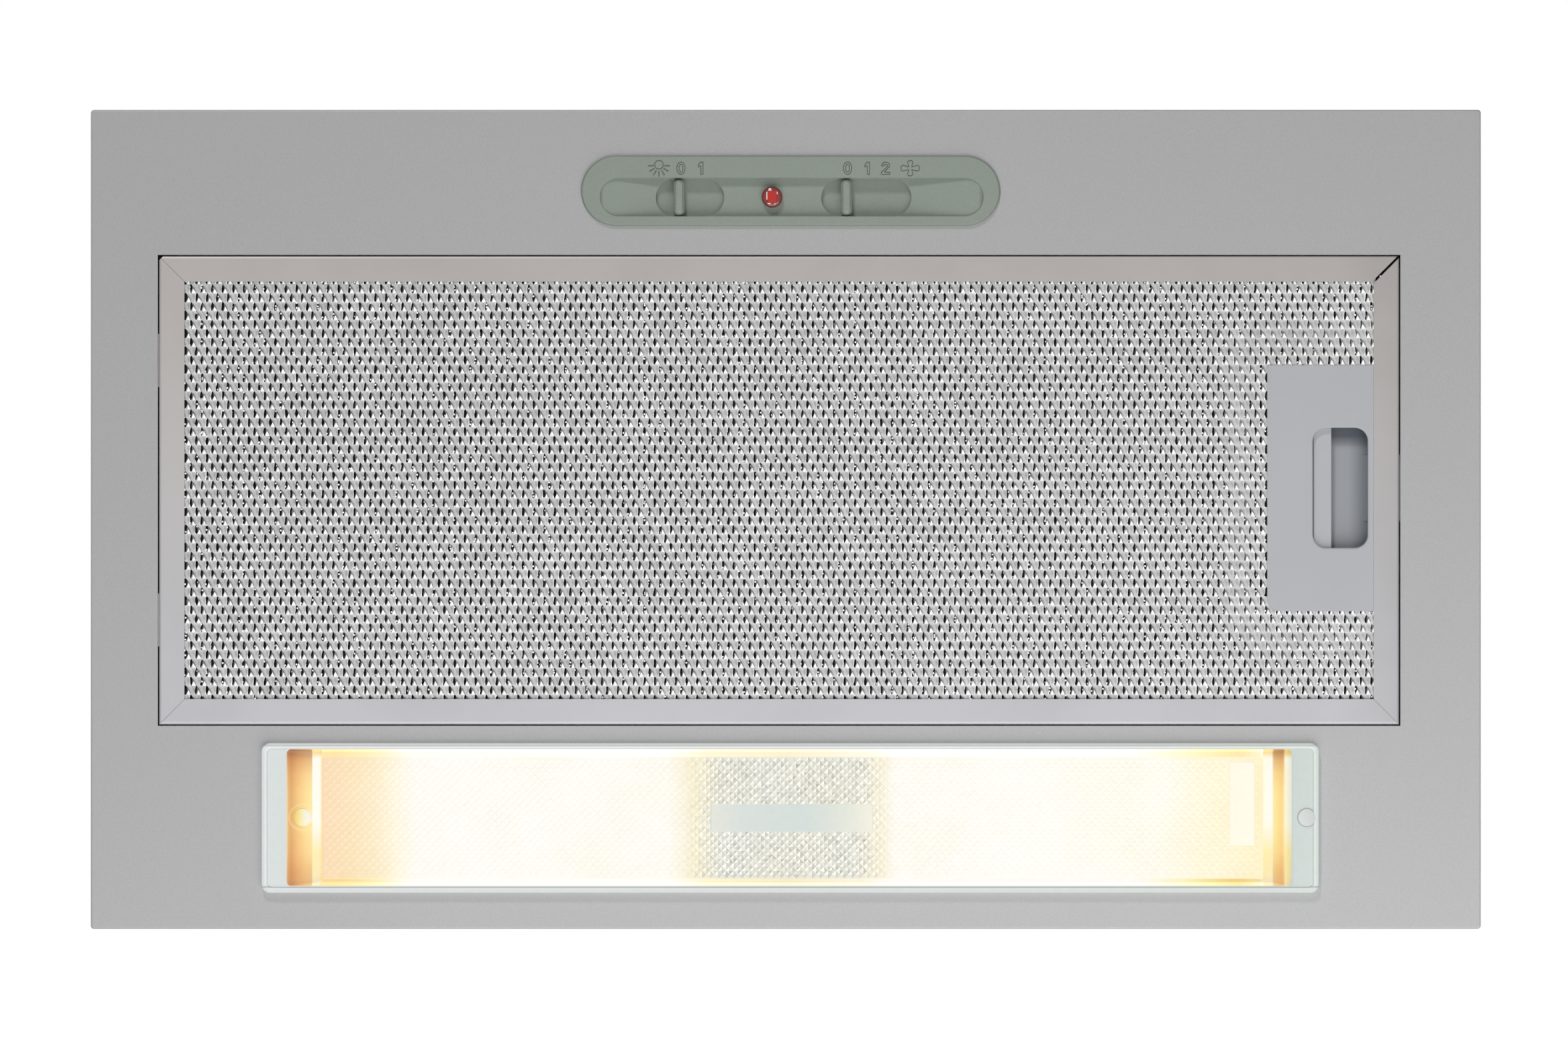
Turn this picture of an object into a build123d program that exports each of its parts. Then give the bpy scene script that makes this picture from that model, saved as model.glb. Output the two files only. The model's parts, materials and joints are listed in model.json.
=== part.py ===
from build123d import *
import math
import os

os.makedirs("parts", exist_ok=True)

# A built-in range hood, drawn as it hangs in its cabinet. All lengths are millimetres.
# The origin is the centre of the face plate, in the plane of the folded-in lip that lies against
# the cabinet's underside. +Z is up, +X runs along the plate, and -Y is the front, where the
# switches are. The visible face of the plate looks down.

# Sheet metal and general clearances
sheet = 0.8
moving_gap = 0.3
shaft_gap = 0.03
pin_gap = 0.08

# Face plate
plate_height = 8.0
plate_corner_radius = 1.2
plate_edge_radius = 0.7
lip_width = 10.0
lip_side_gap = 5.0
lip_end_gap = 2.25

# Grease filter
filter_width = 468.3
filter_depth = 176.9
filter_height = 8.8
filter_proud = 0.5
filter_gap = 0.5
filter_end_gap = 0.5
rail_width = 9.6
channel_wall = 0.5
channel_edge_radius = 1.0
corner_clip = 1.6
mitre_gap = 0.9
mitre_line = 0.25
mitre_depth = 0.2
mesh_thickness = 1.2
mesh_tuck = 4.0
mesh_layers = 5

# Filter hooks, at the left end
hook_reach = 8.3
hook_room = 1.7
hook_width = 20.0
hook_thickness = 1.2
hook_foot = 3.5
hook_foot_spread = 3.0
hook_from_front = 29.4
hook_spacing = 98.0

# Filter latch, at the right end
latch_reach = 40.2
latch_length = 92.9
latch_from_front = 41.2
latch_recess = 0.2
latch_front_radius = 1.2
latch_back_radius = 4.5
latch_wall = 1.8
latch_roof = 0.8
pocket_width = 20.7
pocket_length = 45.4
pocket_from_rail = 2.2
pocket_from_end = 23.6
pocket_corner_radius = 5.0
pocket_edge_radius = 0.7
slider_margin = 1.6
slider_plate = 1.3
grip_width = 6.7
scoop_radius = 4.5
shoulder_lap = 2.0
bolt_width = 25.0
bolt_height = 3.8
bolt_reach = 6.4
bolt_room = 8.7
bolt_root = 4.0
spring_radius = 1.8
spring_wire = 0.5
spring_coils = 6
spring_offset = 14.0

# Lamp bay
lamp_centre_x = 1.25
filter_to_mouth = 9.0
mouth_width = 379.5
mouth_depth = 52.2
reflector_wall = 0.6
reflector_room = 2.4
reflector_height = 53.0
reflector_flange = 10.0
reflector_lip = 3.0
cover_left_lap = 9.4
cover_right_lap = 10.2
cover_front_lap = 2.0
cover_back_lap = 2.35
cover_thickness = 1.7
cover_corner_radius = 3.8
bead_width = 2.3
bead_height = 0.8
tub_depth = 5.5
tub_wall = 1.5
tub_slope = 10.0
tub_corner_radius = 4.0
tub_clearance = 0.5
notch_width = 9.2
notch_depth = 1.0
notch_places = ((-55.0, -1), (0.8, 1))
button_radius = 3.6
button_height = 1.2
button_gap = 0.2
button_stem_radius = 1.8
button_stem_reach = 2.4
left_button_in = 6.0
left_boss_radius = 4.8
right_button_out = 5.6
bulb_height = 29.0
bulb_radius = 17.5
bulb_glass_length = 76.0
bulb_neck_radius = 7.6
bulb_cap_radius = 7.0
bulb_cap_length = 24.0
holder_radius = 13.0
holder_length = 30.0
holder_bore_depth = 26.0
holder_web_half = 10.0
holder_leg_width = 29.0

# Control panel
panel_centre_x = 1.83
panel_width = 158.4
panel_depth = 26.7
panel_front_gap = 4.3
panel_to_partition = 9.0
partition_to_cutout = 1.0
bezel_height = 1.3
bezel_edge_radius = 0.9
trough_from_left = 7.17
trough_from_right = 6.43
trough_depth = 14.6
trough_offset_y = 2.35
trough_sink = 2.5
trough_end_sink = 0.25
trough_ramp_left = 21.1
trough_ramp_right = 27.2
trough_floor = 1.6
panel_wall = 1.4
window_depth = 14.1
window_height_offset = 0.15
light_window_share = 0.2674
fan_window_share = 0.3523
light_knob_in = 8.75
fan_knob_in = 9.45
switch_step = 7.2
knob_width = 4.2
knob_radius = 1.9
knob_proud = 0.2
shutter_thickness = 1.0
shutter_lap = 0.8
shutter_side_lap = 1.0
stem_size = 4.0
stem_height = 7.0
channel_height = 2.7
hook_block = (12.0, 1.2, 1.5)
hook_block_spacing = 80.0
indicator_to_shutter = 1.4
indicator_radius = 4.0
indicator_rim = 1.0
indicator_dome = 2.2
indicator_stem_radius = 2.0
neon_radius = 2.5
switch_margin = 9.5
switch_depth = 16.0
switch_height = 16.0
switch_slot_height = 6.5
bracket_thickness = 1.2
bracket_end = 8.0
bracket_foot = 8.0

# Engraved marks on the bezel
mark_depth = 0.25
mark_line = 0.28
digit_width = 3.4
digit_height = 4.9
digit_stroke = 1.1
one_stem_shift = 0.7
one_flag_reach = 1.9
one_flag_drop = 1.15
two_slant_end = -0.25
marks_in = 4.8
light_mark_shift = 0.75
fan_mark_shift = 0.45
light_icon_in = 1.2
fan_icon_in = 0.45
icon_lamp_radius = 1.75
icon_lamp_forward = 1.3
icon_ray_width = 0.5
icon_ray_start = 2.0
icon_ray_end = 4.1
icon_ray_shift = 0.4
icon_ray_step = 30.0
icon_ray_count = 7
icon_blade_lengths = (3.65, 3.05)
icon_blade_width = 3.1
icon_blade_root = 0.9
icon_blade_corner = 1.0

# Housing
side_feet = 115.0
end_feet = 220.0
foot_length = 24.0
foot_width = 8.0
top_flange = 12.0
screw_hole_radius = 2.5
screw_hole_height = 9.0
screw_hole_half_spacing = 90.0
wall_screw_spacing = 197.0
stop_lap = 6.0
stop_height = 11.0
clip_width = 30.0
clip_thickness = 1.0
clip_low = 25.0
clip_length = 45.0
clip_bow = 4.5
clip_land = 11.0
clip_peak = 13.5
clip_tip_gap = 1.0

# Blower
blower_front_gap = 12.0
blower_back_gap = 1.5
blower_ground_gap = 8.0
scroll_wall = 1.5
scroll_growth = 26.0
tongue_gap = 4.0
tongue_angle = 70.0
spiral_steps = 10
impeller_length = 70.0
impeller_side_gap = 4.0
blade_count = 36
blade_depth = 12.0
blade_thickness = 0.9
blade_camber = 4.0
blade_inset = 0.5
ring_width = 4.0
ring_thickness = 2.0
hub_plate = 2.0
hub_radius = 10.0
hub_length = 20.0
hub_shift = 6.0
mouth_above = 8.0
bellmouth_length = 6.0
bellmouth_wall = 2.0
ear_width = 9.0
ear_thickness = 2.0
lug_radius = 4.5
lug_gap = 0.2
lug_length = 8.0
lug_angles = (150.0, 215.0, 300.0)

# Motor
motor_gap = 8.0
motor_start = 6.0
motor_length = 60.0
motor_wall = 1.5
shaft_radius = 4.0
shaft_tail = 2.0
bearing_radius = 11.0
bearing_width = 8.0
stator_depth = 13.8
air_gap = 0.5
stator_length = 28.0
rotor_length = 32.0
bracket_disc_radius = 22.0
arm_width = 14.0
arm_thickness = 2.0
arm_angles = (30.0, 150.0, 270.0)
leg_gap = 6.2
foot_reach = 9.0
foot_screw_gap = 0.4
motor_screw_circle = 16.0

# Outlet
collar_radius = 59.5
collar_wall = 1.5
collar_height = 40.0
collar_base_lap = 12.5
collar_base_thickness = 2.0
collar_base_radius = 6.0
collar_screw_inset = 9.0
damper_height = 12.0
damper_pin_radius = 1.5
flap_thickness = 1.2
flap_gap = 1.0
flap_barrel_radius = 3.0
ledge_width = 2.5
ledge_thickness = 1.5

# Electrical pieces in the switch bay
capacitor_radius = 14.0
capacitor_length = 60.0
capacitor_x = 150.0
capacitor_height = 60.0
clip_band = 1.2
clip_band_width = 16.0
clip_base_height = 30.0
box_centre_x = -150.0
box_width = 80.0
box_depth = 30.0
box_height = 50.0
box_low = 60.0
box_wall = 2.0
terminal_size = (36.0, 14.0, 12.0)
terminal_pitch = 11.0
terminal_hole_radius = 2.5
terminal_hole_depth = 7.0
cable_radius = 4.0
grommet_neck_radius = 7.0
grommet_rim_radius = 9.5
grommet_rim = 2.5

# Screws
screw_radius = 1.5
screw_head_radius = 2.9
screw_head_height = 1.6
screw_length = 6.0
screw_slot = 0.7
motor_screw_length = 3.4
foot_screw_length = 4.5
sheet_screw_length = 4.0

# Heights of the plate, the filter and the panel
z_face = -plate_height
z_plate = z_face + sheet
z_filter = z_face - filter_proud
z_filter_top = z_filter + filter_height
z_bezel = z_face - bezel_height

# Layout along Y, from the front edge of the plate to its back edge
edge_to_inside = lip_width + lip_end_gap + sheet
front_margin = (
    edge_to_inside + panel_front_gap + panel_depth + panel_to_partition
    + sheet + partition_to_cutout + filter_gap
)
back_margin = reflector_wall + reflector_room + edge_to_inside
plate_depth = front_margin + filter_depth + filter_to_mouth + mouth_depth + back_margin
plate_front = -plate_depth / 2
inside_front = plate_front + edge_to_inside
inside_back = plate_depth / 2 - edge_to_inside
panel_y = inside_front + panel_front_gap + panel_depth / 2
filter_y = (plate_front + front_margin, plate_front + front_margin + filter_depth)
mouth_y = (filter_y[1] + filter_to_mouth, filter_y[1] + filter_to_mouth + mouth_depth)
bay_front = filter_y[0] - filter_gap - partition_to_cutout
bay_back = filter_y[1] + filter_gap + partition_to_cutout

# Layout along X, from the left edge of the plate to its right edge
edge_to_side = lip_width + lip_side_gap + sheet
left_margin = edge_to_side + hook_room + hook_reach
right_margin = edge_to_side + bolt_room + bolt_reach
plate_width = left_margin + filter_width + right_margin
filter_x = (left_margin - plate_width / 2, plate_width / 2 - right_margin)
inside_side = plate_width / 2 - edge_to_side
mouth_x = (lamp_centre_x - mouth_width / 2, lamp_centre_x + mouth_width / 2)

# The blower fills the fan bay from the front gap to the back gap
quarter = (360.0 - tongue_angle) / scroll_growth
growth_front = (180.0 - tongue_angle) / quarter
growth_low = (270.0 - tongue_angle) / quarter
growth_top = (90.0 - tongue_angle) / quarter
bay_depth = bay_back - bay_front
spiral_start = (
    bay_depth - blower_front_gap - blower_back_gap - 2 * scroll_wall - growth_front - scroll_growth
) / 2
impeller_radius = spiral_start - tongue_gap
inlet_radius = impeller_radius - blade_depth
blower_y = bay_back - blower_back_gap - scroll_wall - spiral_start - scroll_growth
z_stop = z_filter_top + moving_gap
blower_z = z_stop + sheet + blower_ground_gap + scroll_wall + spiral_start + growth_low
housing_top = blower_z + spiral_start + growth_top + scroll_wall + mouth_above
z_ceiling = housing_top - sheet
motor_radius = inlet_radius - motor_gap
stator_bore = motor_radius - motor_wall - stator_depth
rotor_radius = stator_bore - air_gap
leg_radius = inlet_radius + bellmouth_wall + leg_gap
scroll_half = impeller_length / 2 + impeller_side_gap
scroll_side = scroll_half + scroll_wall
tongue_y = blower_y + spiral_start * math.cos(math.radians(tongue_angle))
throat_back = blower_y + spiral_start + scroll_growth
outlet_y = (tongue_y + throat_back) / 2
collar_base = 2 * (collar_radius + collar_base_lap)


def block(x, y, z):
    """A box between two values along each axis."""
    size = (x[1] - x[0], y[1] - y[0], z[1] - z[0])
    return Pos((x[0] + x[1]) / 2, (y[0] + y[1]) / 2, (z[0] + z[1]) / 2) * Box(*size)


def rounded_block(x, y, z, radius):
    """A box whose four upright edges are rounded."""
    outline = RectangleRounded(x[1] - x[0], y[1] - y[0], radius)
    return extrude(Pos((x[0] + x[1]) / 2, (y[0] + y[1]) / 2, z[0]) * outline, z[1] - z[0])


def stadium_block(x, y, z):
    """An upright block with round ends left and right."""
    outline = SlotOverall(x[1] - x[0], y[1] - y[0])
    return extrude(Pos((x[0] + x[1]) / 2, (y[0] + y[1]) / 2, z[0]) * outline, z[1] - z[0])


def rod(start, axis, radius, length):
    """A cylinder that starts at a point and runs along an axis."""
    upright = Cylinder(radius, length, align=(Align.CENTER, Align.CENTER, Align.MIN))
    return Plane(origin=start, z_dir=axis).location * upright


def prism(points, direction, length):
    """A closed outline through points in space, drawn out along a direction."""
    return extrude(make_face(Polyline(*points, close=True)), amount=length, dir=direction)


def grown(span, by):
    """A pair of limits moved apart by the same amount at both ends."""
    return (span[0] - by, span[1] + by)


def centred(middle, size):
    """A pair of limits about a middle."""
    return (middle - size / 2, middle + size / 2)


def turned(points):
    """A ring turned about the blower's axis, from pairs of place along X and radius."""
    outline = make_face(Polyline(*[(x, 0, radius) for x, radius in points], close=True))
    return Pos(0, blower_y, blower_z) * revolve(outline, Axis.X)


def tube(x, inner, outer):
    """A plain ring about the blower's axis."""
    return turned([(x[0], inner), (x[1], inner), (x[1], outer), (x[0], outer)])


def around_blower(x, angle, radius):
    """A point at an angle about the blower's axis, counted from +Y towards +Z."""
    turn = math.radians(angle)
    return (x, blower_y + radius * math.cos(turn), blower_z + radius * math.sin(turn))


def screw(head_seat, axis, length=screw_length):
    """A slotted pan-head screw whose head seats at a point."""
    shank = Cylinder(screw_radius, length, align=(Align.CENTER, Align.CENTER, Align.MIN))
    head = Cylinder(screw_head_radius, screw_head_height, align=(Align.CENTER, Align.CENTER, Align.MAX))
    slot = Pos(0, 0, -screw_head_height) * Box(2 * screw_head_radius, screw_slot, screw_slot)
    return Plane(origin=head_seat, z_dir=axis).location * (shank + head - slot)


def screw_hole(head_seat, axis, length=screw_length):
    """The space that a screw's shank takes."""
    return rod(head_seat, axis, screw_radius, length)


# Control panel places that the plate shares
panel_x = centred(panel_centre_x, panel_width)
panel_y_span = centred(panel_y, panel_depth)
trough_y = panel_y + trough_offset_y
trough_x = (panel_x[0] + trough_from_left, panel_x[1] - trough_from_right)
flat_x = (trough_x[0] + trough_ramp_left, trough_x[1] - trough_ramp_right)
flat_length = flat_x[1] - flat_x[0]
light_window = (flat_x[0], flat_x[0] + light_window_share * flat_length)
fan_window = (flat_x[1] - fan_window_share * flat_length, flat_x[1])
light_knob_x = light_window[0] + light_knob_in
fan_knob_x = fan_window[0] + fan_knob_in
indicator_x = fan_window[0] - 2 * switch_step - shutter_lap - indicator_to_shutter - indicator_stem_radius
trough_y_span = centred(trough_y, trough_depth)
window_y = centred(trough_y + window_height_offset, window_depth)
shutter_y = grown(window_y, shutter_side_lap)
channel_y = grown(shutter_y, moving_gap)
panel_body_x = grown(trough_x, panel_wall)
panel_body_y = grown(channel_y, panel_wall)
z_trough = z_bezel + trough_sink
z_channel = z_trough + trough_floor
z_panel_back = z_channel + channel_height

# Lamp cover places that the plate shares
cover_x = (mouth_x[0] - cover_left_lap, mouth_x[1] + cover_right_lap)
cover_y = (mouth_y[0] - cover_front_lap, mouth_y[1] + cover_back_lap)
z_cover_back = z_face - moving_gap
z_cover = z_cover_back - cover_thickness
button_y = (mouth_y[0] + mouth_y[1]) / 2
right_button_x = mouth_x[1] + right_button_out
left_button_x = mouth_x[0] + left_button_in


def make_face_plate():
    """The painted pan: a flat face, folded edges and a lip folded in on top."""
    width = centred(0, plate_width)
    depth = centred(0, plate_depth)
    pan = rounded_block(width, depth, (z_face, 0), plate_corner_radius)
    pan = fillet(pan.faces().sort_by(Axis.Z)[0].edges(), plate_edge_radius)
    pan -= block(grown(width, -sheet), grown(depth, -sheet), (z_plate, -sheet))
    pan -= block(grown(width, -lip_width), grown(depth, -lip_width), (-sheet, 1))
    through = (z_face - 1, z_plate + 1)
    pan -= block(grown(filter_x, filter_end_gap), grown(filter_y, filter_gap), through)
    pan -= block(mouth_x, mouth_y, through)
    pan -= stadium_block(grown(panel_body_x, moving_gap), grown(panel_body_y, moving_gap), through)
    pan -= rod((right_button_x, button_y, through[0]), (0, 0, 1), button_stem_radius + moving_gap, 4 * sheet)
    return pan


def sheet_wall(length, z, feet):
    """A sheet along X with its outer face at y = 0 and feet bent towards +Y."""
    wall = block(centred(0, length), (0, sheet), z)
    for place in feet:
        wall += block(centred(place, foot_length), (0, foot_width), (z[0], z[0] + sheet))
    return wall


def make_housing_walls():
    """The four outer walls, which stand on the plate."""
    height = (z_plate, housing_top)
    long_length = 2 * (inside_side + sheet)
    short_length = inside_back - inside_front
    long_feet = (-end_feet, end_feet)
    short_feet = (-side_feet, side_feet)
    front = Pos(0, inside_front - sheet, 0) * sheet_wall(long_length, height, long_feet)
    back = Pos(0, inside_back + sheet, 0) * Rot(0, 0, 180) * sheet_wall(long_length, height, long_feet)
    side = sheet_wall(short_length, height, short_feet)
    for place in (-screw_hole_half_spacing, screw_hole_half_spacing):
        side -= rod((place, -1, screw_hole_height), (0, 1, 0), screw_hole_radius, 4 * sheet)
    left = Pos(-inside_side - sheet, 0, 0) * Rot(0, 0, -90) * side
    right = Pos(inside_side + sheet, 0, 0) * Rot(0, 0, 90) * side
    for seat, axis in housing_screw_seats():
        front -= screw_hole(seat, axis)
        back -= screw_hole(seat, axis)
    return {
        "housing_front_panel": front,
        "housing_back_panel": back,
        "housing_left_panel": left,
        "housing_right_panel": right,
    }


def housing_screw_seats():
    """Where the screws through the long walls into the top's flanges have their heads."""
    seats = []
    height = z_ceiling - top_flange / 2
    for x in (-wall_screw_spacing, 0.0, wall_screw_spacing):
        seats.append(((x, inside_front - sheet, height), (0, 1, 0)))
        seats.append(((x, inside_back + sheet, height), (0, -1, 0)))
    return seats


def scroll_ear_seats():
    """Where the screws down through the top into the scroll's ears have their heads."""
    across = scroll_side + ear_width / 2
    along = (tongue_y + ear_width / 2, throat_back - ear_width / 2)
    return [(x, y, housing_top) for x in (-across, across) for y in along]


def collar_screw_seats():
    """Where the screws down through the collar's base have their heads."""
    reach = collar_base / 2 - collar_screw_inset
    z = housing_top + collar_base_thickness
    return [(x, outlet_y + y, z) for x in (-reach, reach) for y in (-reach, reach)]


def make_housing_top():
    """The top sheet, with a flange down each long side."""
    top = block(centred(0, 2 * inside_side), (inside_front, inside_back), (z_ceiling, housing_top))
    flange_z = (z_ceiling - top_flange, z_ceiling)
    top += block(centred(0, 2 * inside_side), (inside_front, inside_front + sheet), flange_z)
    top += block(centred(0, 2 * inside_side), (inside_back - sheet, inside_back), flange_z)
    top -= block(centred(0, 2 * scroll_half), (tongue_y, throat_back), (z_ceiling - 1, housing_top + 1))
    top -= rod((box_centre_x, box_y, z_ceiling - 1), (0, 0, 1), grommet_neck_radius, 3)
    for seat in scroll_ear_seats() + collar_screw_seats():
        top -= screw_hole(seat, (0, 0, -1))
    for seat, axis in housing_screw_seats():
        top -= screw_hole(seat, axis)
    return top


def make_partitions():
    """The walls between the fan bay, the switch bay and the lamp bay."""
    height = (z_plate, z_ceiling)
    wall = sheet_wall(2 * inside_side, height, (-end_feet, end_feet))
    return {
        "front_partition": Pos(0, bay_front, 0) * Rot(0, 0, 180) * wall,
        "back_partition": Pos(0, bay_back, 0) * wall,
    }


def make_filter_stops():
    """Two angle strips on the partitions that the filter frame closes against."""
    x = grown(filter_x, -stop_lap)
    upright = (z_stop, z_stop + stop_height)
    flat = (z_stop, z_stop + sheet)
    front = block(x, (bay_front, bay_front + sheet), upright)
    front += block(x, (bay_front, filter_y[0] + stop_lap), flat)
    back = block(x, (bay_back - sheet, bay_back), upright)
    back += block(x, (filter_y[1] - stop_lap, bay_back), flat)
    return Compound([front.solid(), back.solid()])


def make_cabinet_clips():
    """Bowed spring strips on the two sides, which grip the edge of the cabinet's opening."""
    wall = inside_side + sheet
    high = clip_low + clip_length
    bow = [
        (wall, 0, high),
        (wall + clip_thickness, 0, high),
        (wall + clip_thickness, 0, high - clip_land),
        (wall + clip_bow, 0, clip_low + clip_peak),
        (wall + clip_tip_gap + clip_thickness, 0, clip_low),
        (wall + clip_tip_gap, 0, clip_low),
        (wall + clip_bow - clip_thickness, 0, clip_low + clip_peak),
        (wall, 0, high - clip_land),
    ]
    right = Pos(0, -clip_width / 2, 0) * prism(bow, (0, 1, 0), clip_width)
    return Compound([right.solid(), mirror(right, Plane.YZ).solid()])


def make_collar():
    """The outlet collar with its square base, its damper ledge and holes for the damper pin."""
    z = (housing_top, housing_top + collar_base_thickness)
    collar = rounded_block(centred(0, collar_base), centred(outlet_y, collar_base), z, collar_base_radius)
    collar += rod((0, outlet_y, housing_top), (0, 0, 1), collar_radius, collar_height)
    inner = collar_radius - collar_wall
    collar -= rod((0, outlet_y, housing_top - 1), (0, 0, 1), inner, collar_height + 2)
    ledge_top = damper_z() - flap_thickness / 2 - moving_gap
    ledge = rod((0, outlet_y, ledge_top), (0, 0, -1), inner + collar_wall / 2, ledge_thickness)
    ledge -= rod((0, outlet_y, ledge_top + 1), (0, 0, -1), inner - ledge_width, ledge_thickness + 2)
    ledge -= block(
        centred(0, 2 * collar_radius), centred(outlet_y, 4 * flap_barrel_radius), (0, 2 * ledge_top))
    collar += ledge
    collar -= damper_axle(damper_pin_radius, collar_radius + 1)
    for seat in scroll_ear_seats():
        collar -= rod(seat, (0, 0, 1), screw_head_radius + moving_gap, screw_head_height + moving_gap)
    for seat in collar_screw_seats():
        collar -= screw_hole(seat, (0, 0, -1))
    return collar


def damper_z():
    """The height of the damper pin's axis."""
    return housing_top + collar_base_thickness + damper_height


def damper_axle(radius, half_length):
    """A rod along the damper's axis."""
    return rod((-half_length, outlet_y, damper_z()), (1, 0, 0), radius, 2 * half_length)


def make_damper_flap(side):
    """A half disc that hangs on two barrels; side is -1 for the front flap and 1 for the back."""
    z = damper_z()
    radius = collar_radius - collar_wall - flap_gap
    plate = rod((0, outlet_y, z - flap_thickness / 2), (0, 0, 1), radius, flap_thickness)
    near = outlet_y + side * (flap_barrel_radius + moving_gap)
    far = outlet_y + side * (radius + 1)
    kept_y = (min(near, far), max(near, far))
    plate &= block(centred(0, 4 * radius), kept_y, centred(z, 2 * flap_thickness))
    quarter_length = (radius - flap_gap) / 2
    starts = (-2 * quarter_length, 0.0) if side < 0 else (-quarter_length, quarter_length)
    for start in starts:
        x = (start + moving_gap / 2, start + quarter_length - moving_gap / 2)
        barrel = rod((x[0], outlet_y, z), (1, 0, 0), flap_barrel_radius, x[1] - x[0])
        root_y = (min(outlet_y, near), max(outlet_y, near))
        barrel += block(x, root_y, centred(z, flap_thickness))
        plate += barrel
    return plate - damper_axle(damper_pin_radius + pin_gap, collar_radius)


def spiral_point(x, angle, outward):
    """A point on the scroll's spiral, or on a spiral further out."""
    radius = spiral_start + (angle - tongue_angle) / quarter + outward
    return around_blower(x, angle, radius)


def spiral_block(x, outward, top):
    """The scroll's outline drawn along X: the spiral and the straight throat above it."""
    start_y = tongue_y - blower_y - outward
    start = math.degrees(math.acos(start_y / (spiral_start + outward)))
    step = (360.0 - start) / spiral_steps
    points = [spiral_point(x[0], start + step * count, outward) for count in range(spiral_steps + 1)]
    first, last = points[0], points[-1]
    edges = Spline(*points) + Polyline(last, (x[0], last[1], top), (x[0], first[1], top), first)
    return extrude(make_face(edges), amount=x[1] - x[0], dir=(1, 0, 0))


def make_scroll_half(side):
    """One half of the scroll; side is -1 for the left half and 1 for the right."""
    x = (0, scroll_side)
    half = spiral_block(x, scroll_wall, z_ceiling)
    bellmouth_x = (scroll_side - 1, scroll_side + bellmouth_length)
    half += tube(bellmouth_x, inlet_radius, inlet_radius + bellmouth_wall)
    ear_y = (tongue_y - scroll_wall, throat_back + scroll_wall)
    half += block((scroll_side - 1, scroll_side + ear_width), ear_y, (z_ceiling - ear_thickness, z_ceiling))
    for angle in lug_angles:
        half += rod(lug_point(0, angle), (1, 0, 0), lug_radius, lug_length)
    half -= spiral_block((-1, scroll_half), 0, z_ceiling + 1)
    half -= rod((scroll_half - 1, blower_y, blower_z), (1, 0, 0), inlet_radius, 3 + bellmouth_length)
    for angle in lug_angles:
        half -= rod(lug_point(-1, angle), (1, 0, 0), screw_radius, lug_length + 2)
    for seat in scroll_ear_seats():
        half -= screw_hole(seat, (0, 0, -1))
    if side < 0:
        return mirror(half, Plane.YZ)
    for seat in bracket_foot_seats():
        half -= screw_hole(seat, (-1, 0, 0))
    return half


def lug_point(x, angle):
    """The middle of a lug that joins the two scroll halves."""
    radius = spiral_start + (angle - tongue_angle) / quarter + scroll_wall + screw_head_radius + lug_gap
    return around_blower(x, angle, radius)


def make_blade(angle):
    """One forward-curved blade of the impeller, from end ring to end ring."""
    half = impeller_length / 2
    outer = impeller_radius - blade_inset
    middle = impeller_radius - blade_depth / 2
    inner = impeller_radius - blade_depth
    points = [(outer, blade_camber), (middle, 0.0), (inner, 0.0)]
    front = [(0, radius, shift) for radius, shift in points]
    back = [(0, radius, shift - blade_thickness) for radius, shift in points]
    edges = ThreePointArc(*front) + Line(front[2], back[2])
    edges += ThreePointArc(*reversed(back)) + Line(back[0], front[0])
    blade = extrude(make_face(edges), amount=2 * half, dir=(1, 0, 0))
    return Pos(-half, blower_y, blower_z) * Rot(angle, 0, 0) * blade


def make_impeller():
    """The squirrel-cage wheel: blades, two end rings, a middle plate and a hub."""
    half = impeller_length / 2
    wheel = tube(centred(0, hub_plate), shaft_radius, impeller_radius - ring_width / 4)
    wheel += tube(centred(-hub_shift, hub_length), shaft_radius, hub_radius)
    for end in (-half, half - ring_thickness):
        wheel += tube((end, end + ring_thickness), impeller_radius - ring_width, impeller_radius)
    blades = [make_blade(360.0 / blade_count * count) for count in range(blade_count)]
    return wheel.fuse(*blades)


def make_motor():
    """The motor's shells, stator and bearings, which stand still."""
    start, end = motor_start, motor_start + motor_length
    middle = (start + end) / 2
    inner = motor_radius - motor_wall
    pocket = bearing_radius + motor_wall
    depth = motor_wall + bearing_width
    nose = shaft_radius + 1
    front = turned([
        (start, nose), (start, motor_radius), (middle, motor_radius), (middle, inner),
        (start + motor_wall, inner), (start + motor_wall, pocket), (start + depth, pocket),
        (start + depth, bearing_radius),
        (start + motor_wall, bearing_radius), (start + motor_wall, nose),
    ])
    rear = turned([
        (end, nose), (end, motor_radius), (middle, motor_radius), (middle, inner),
        (end - motor_wall, inner), (end - motor_wall, pocket), (end - depth, pocket),
        (end - depth, bearing_radius),
        (end - motor_wall, bearing_radius), (end - motor_wall, nose),
    ])
    for angle in arm_angles:
        rear -= screw_hole(around_blower(end + arm_thickness, angle, motor_screw_circle), (-1, 0, 0))
    bore = shaft_radius + shaft_gap
    bearings = [
        tube((start + motor_wall, start + depth), bore, bearing_radius),
        tube((end - depth, end - motor_wall), bore, bearing_radius),
    ]
    return {
        "motor_front_shell": front,
        "motor_rear_shell": rear,
        "motor_stator": tube(centred(middle, stator_length), stator_bore, inner),
        "motor_bearings": Compound([ring.solid() for ring in bearings]),
    }


def make_rotating_parts():
    """The shaft and the rotor, which turn with the impeller."""
    middle = motor_start + motor_length / 2
    end = motor_start + motor_length - shaft_tail
    start = (-hub_shift - hub_length / 2 - shaft_tail, blower_y, blower_z)
    shaft = rod(start, (1, 0, 0), shaft_radius, end - start[0])
    return {
        "motor_shaft": shaft,
        "motor_rotor": tube(centred(middle, rotor_length), shaft_radius, rotor_radius),
    }


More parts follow.
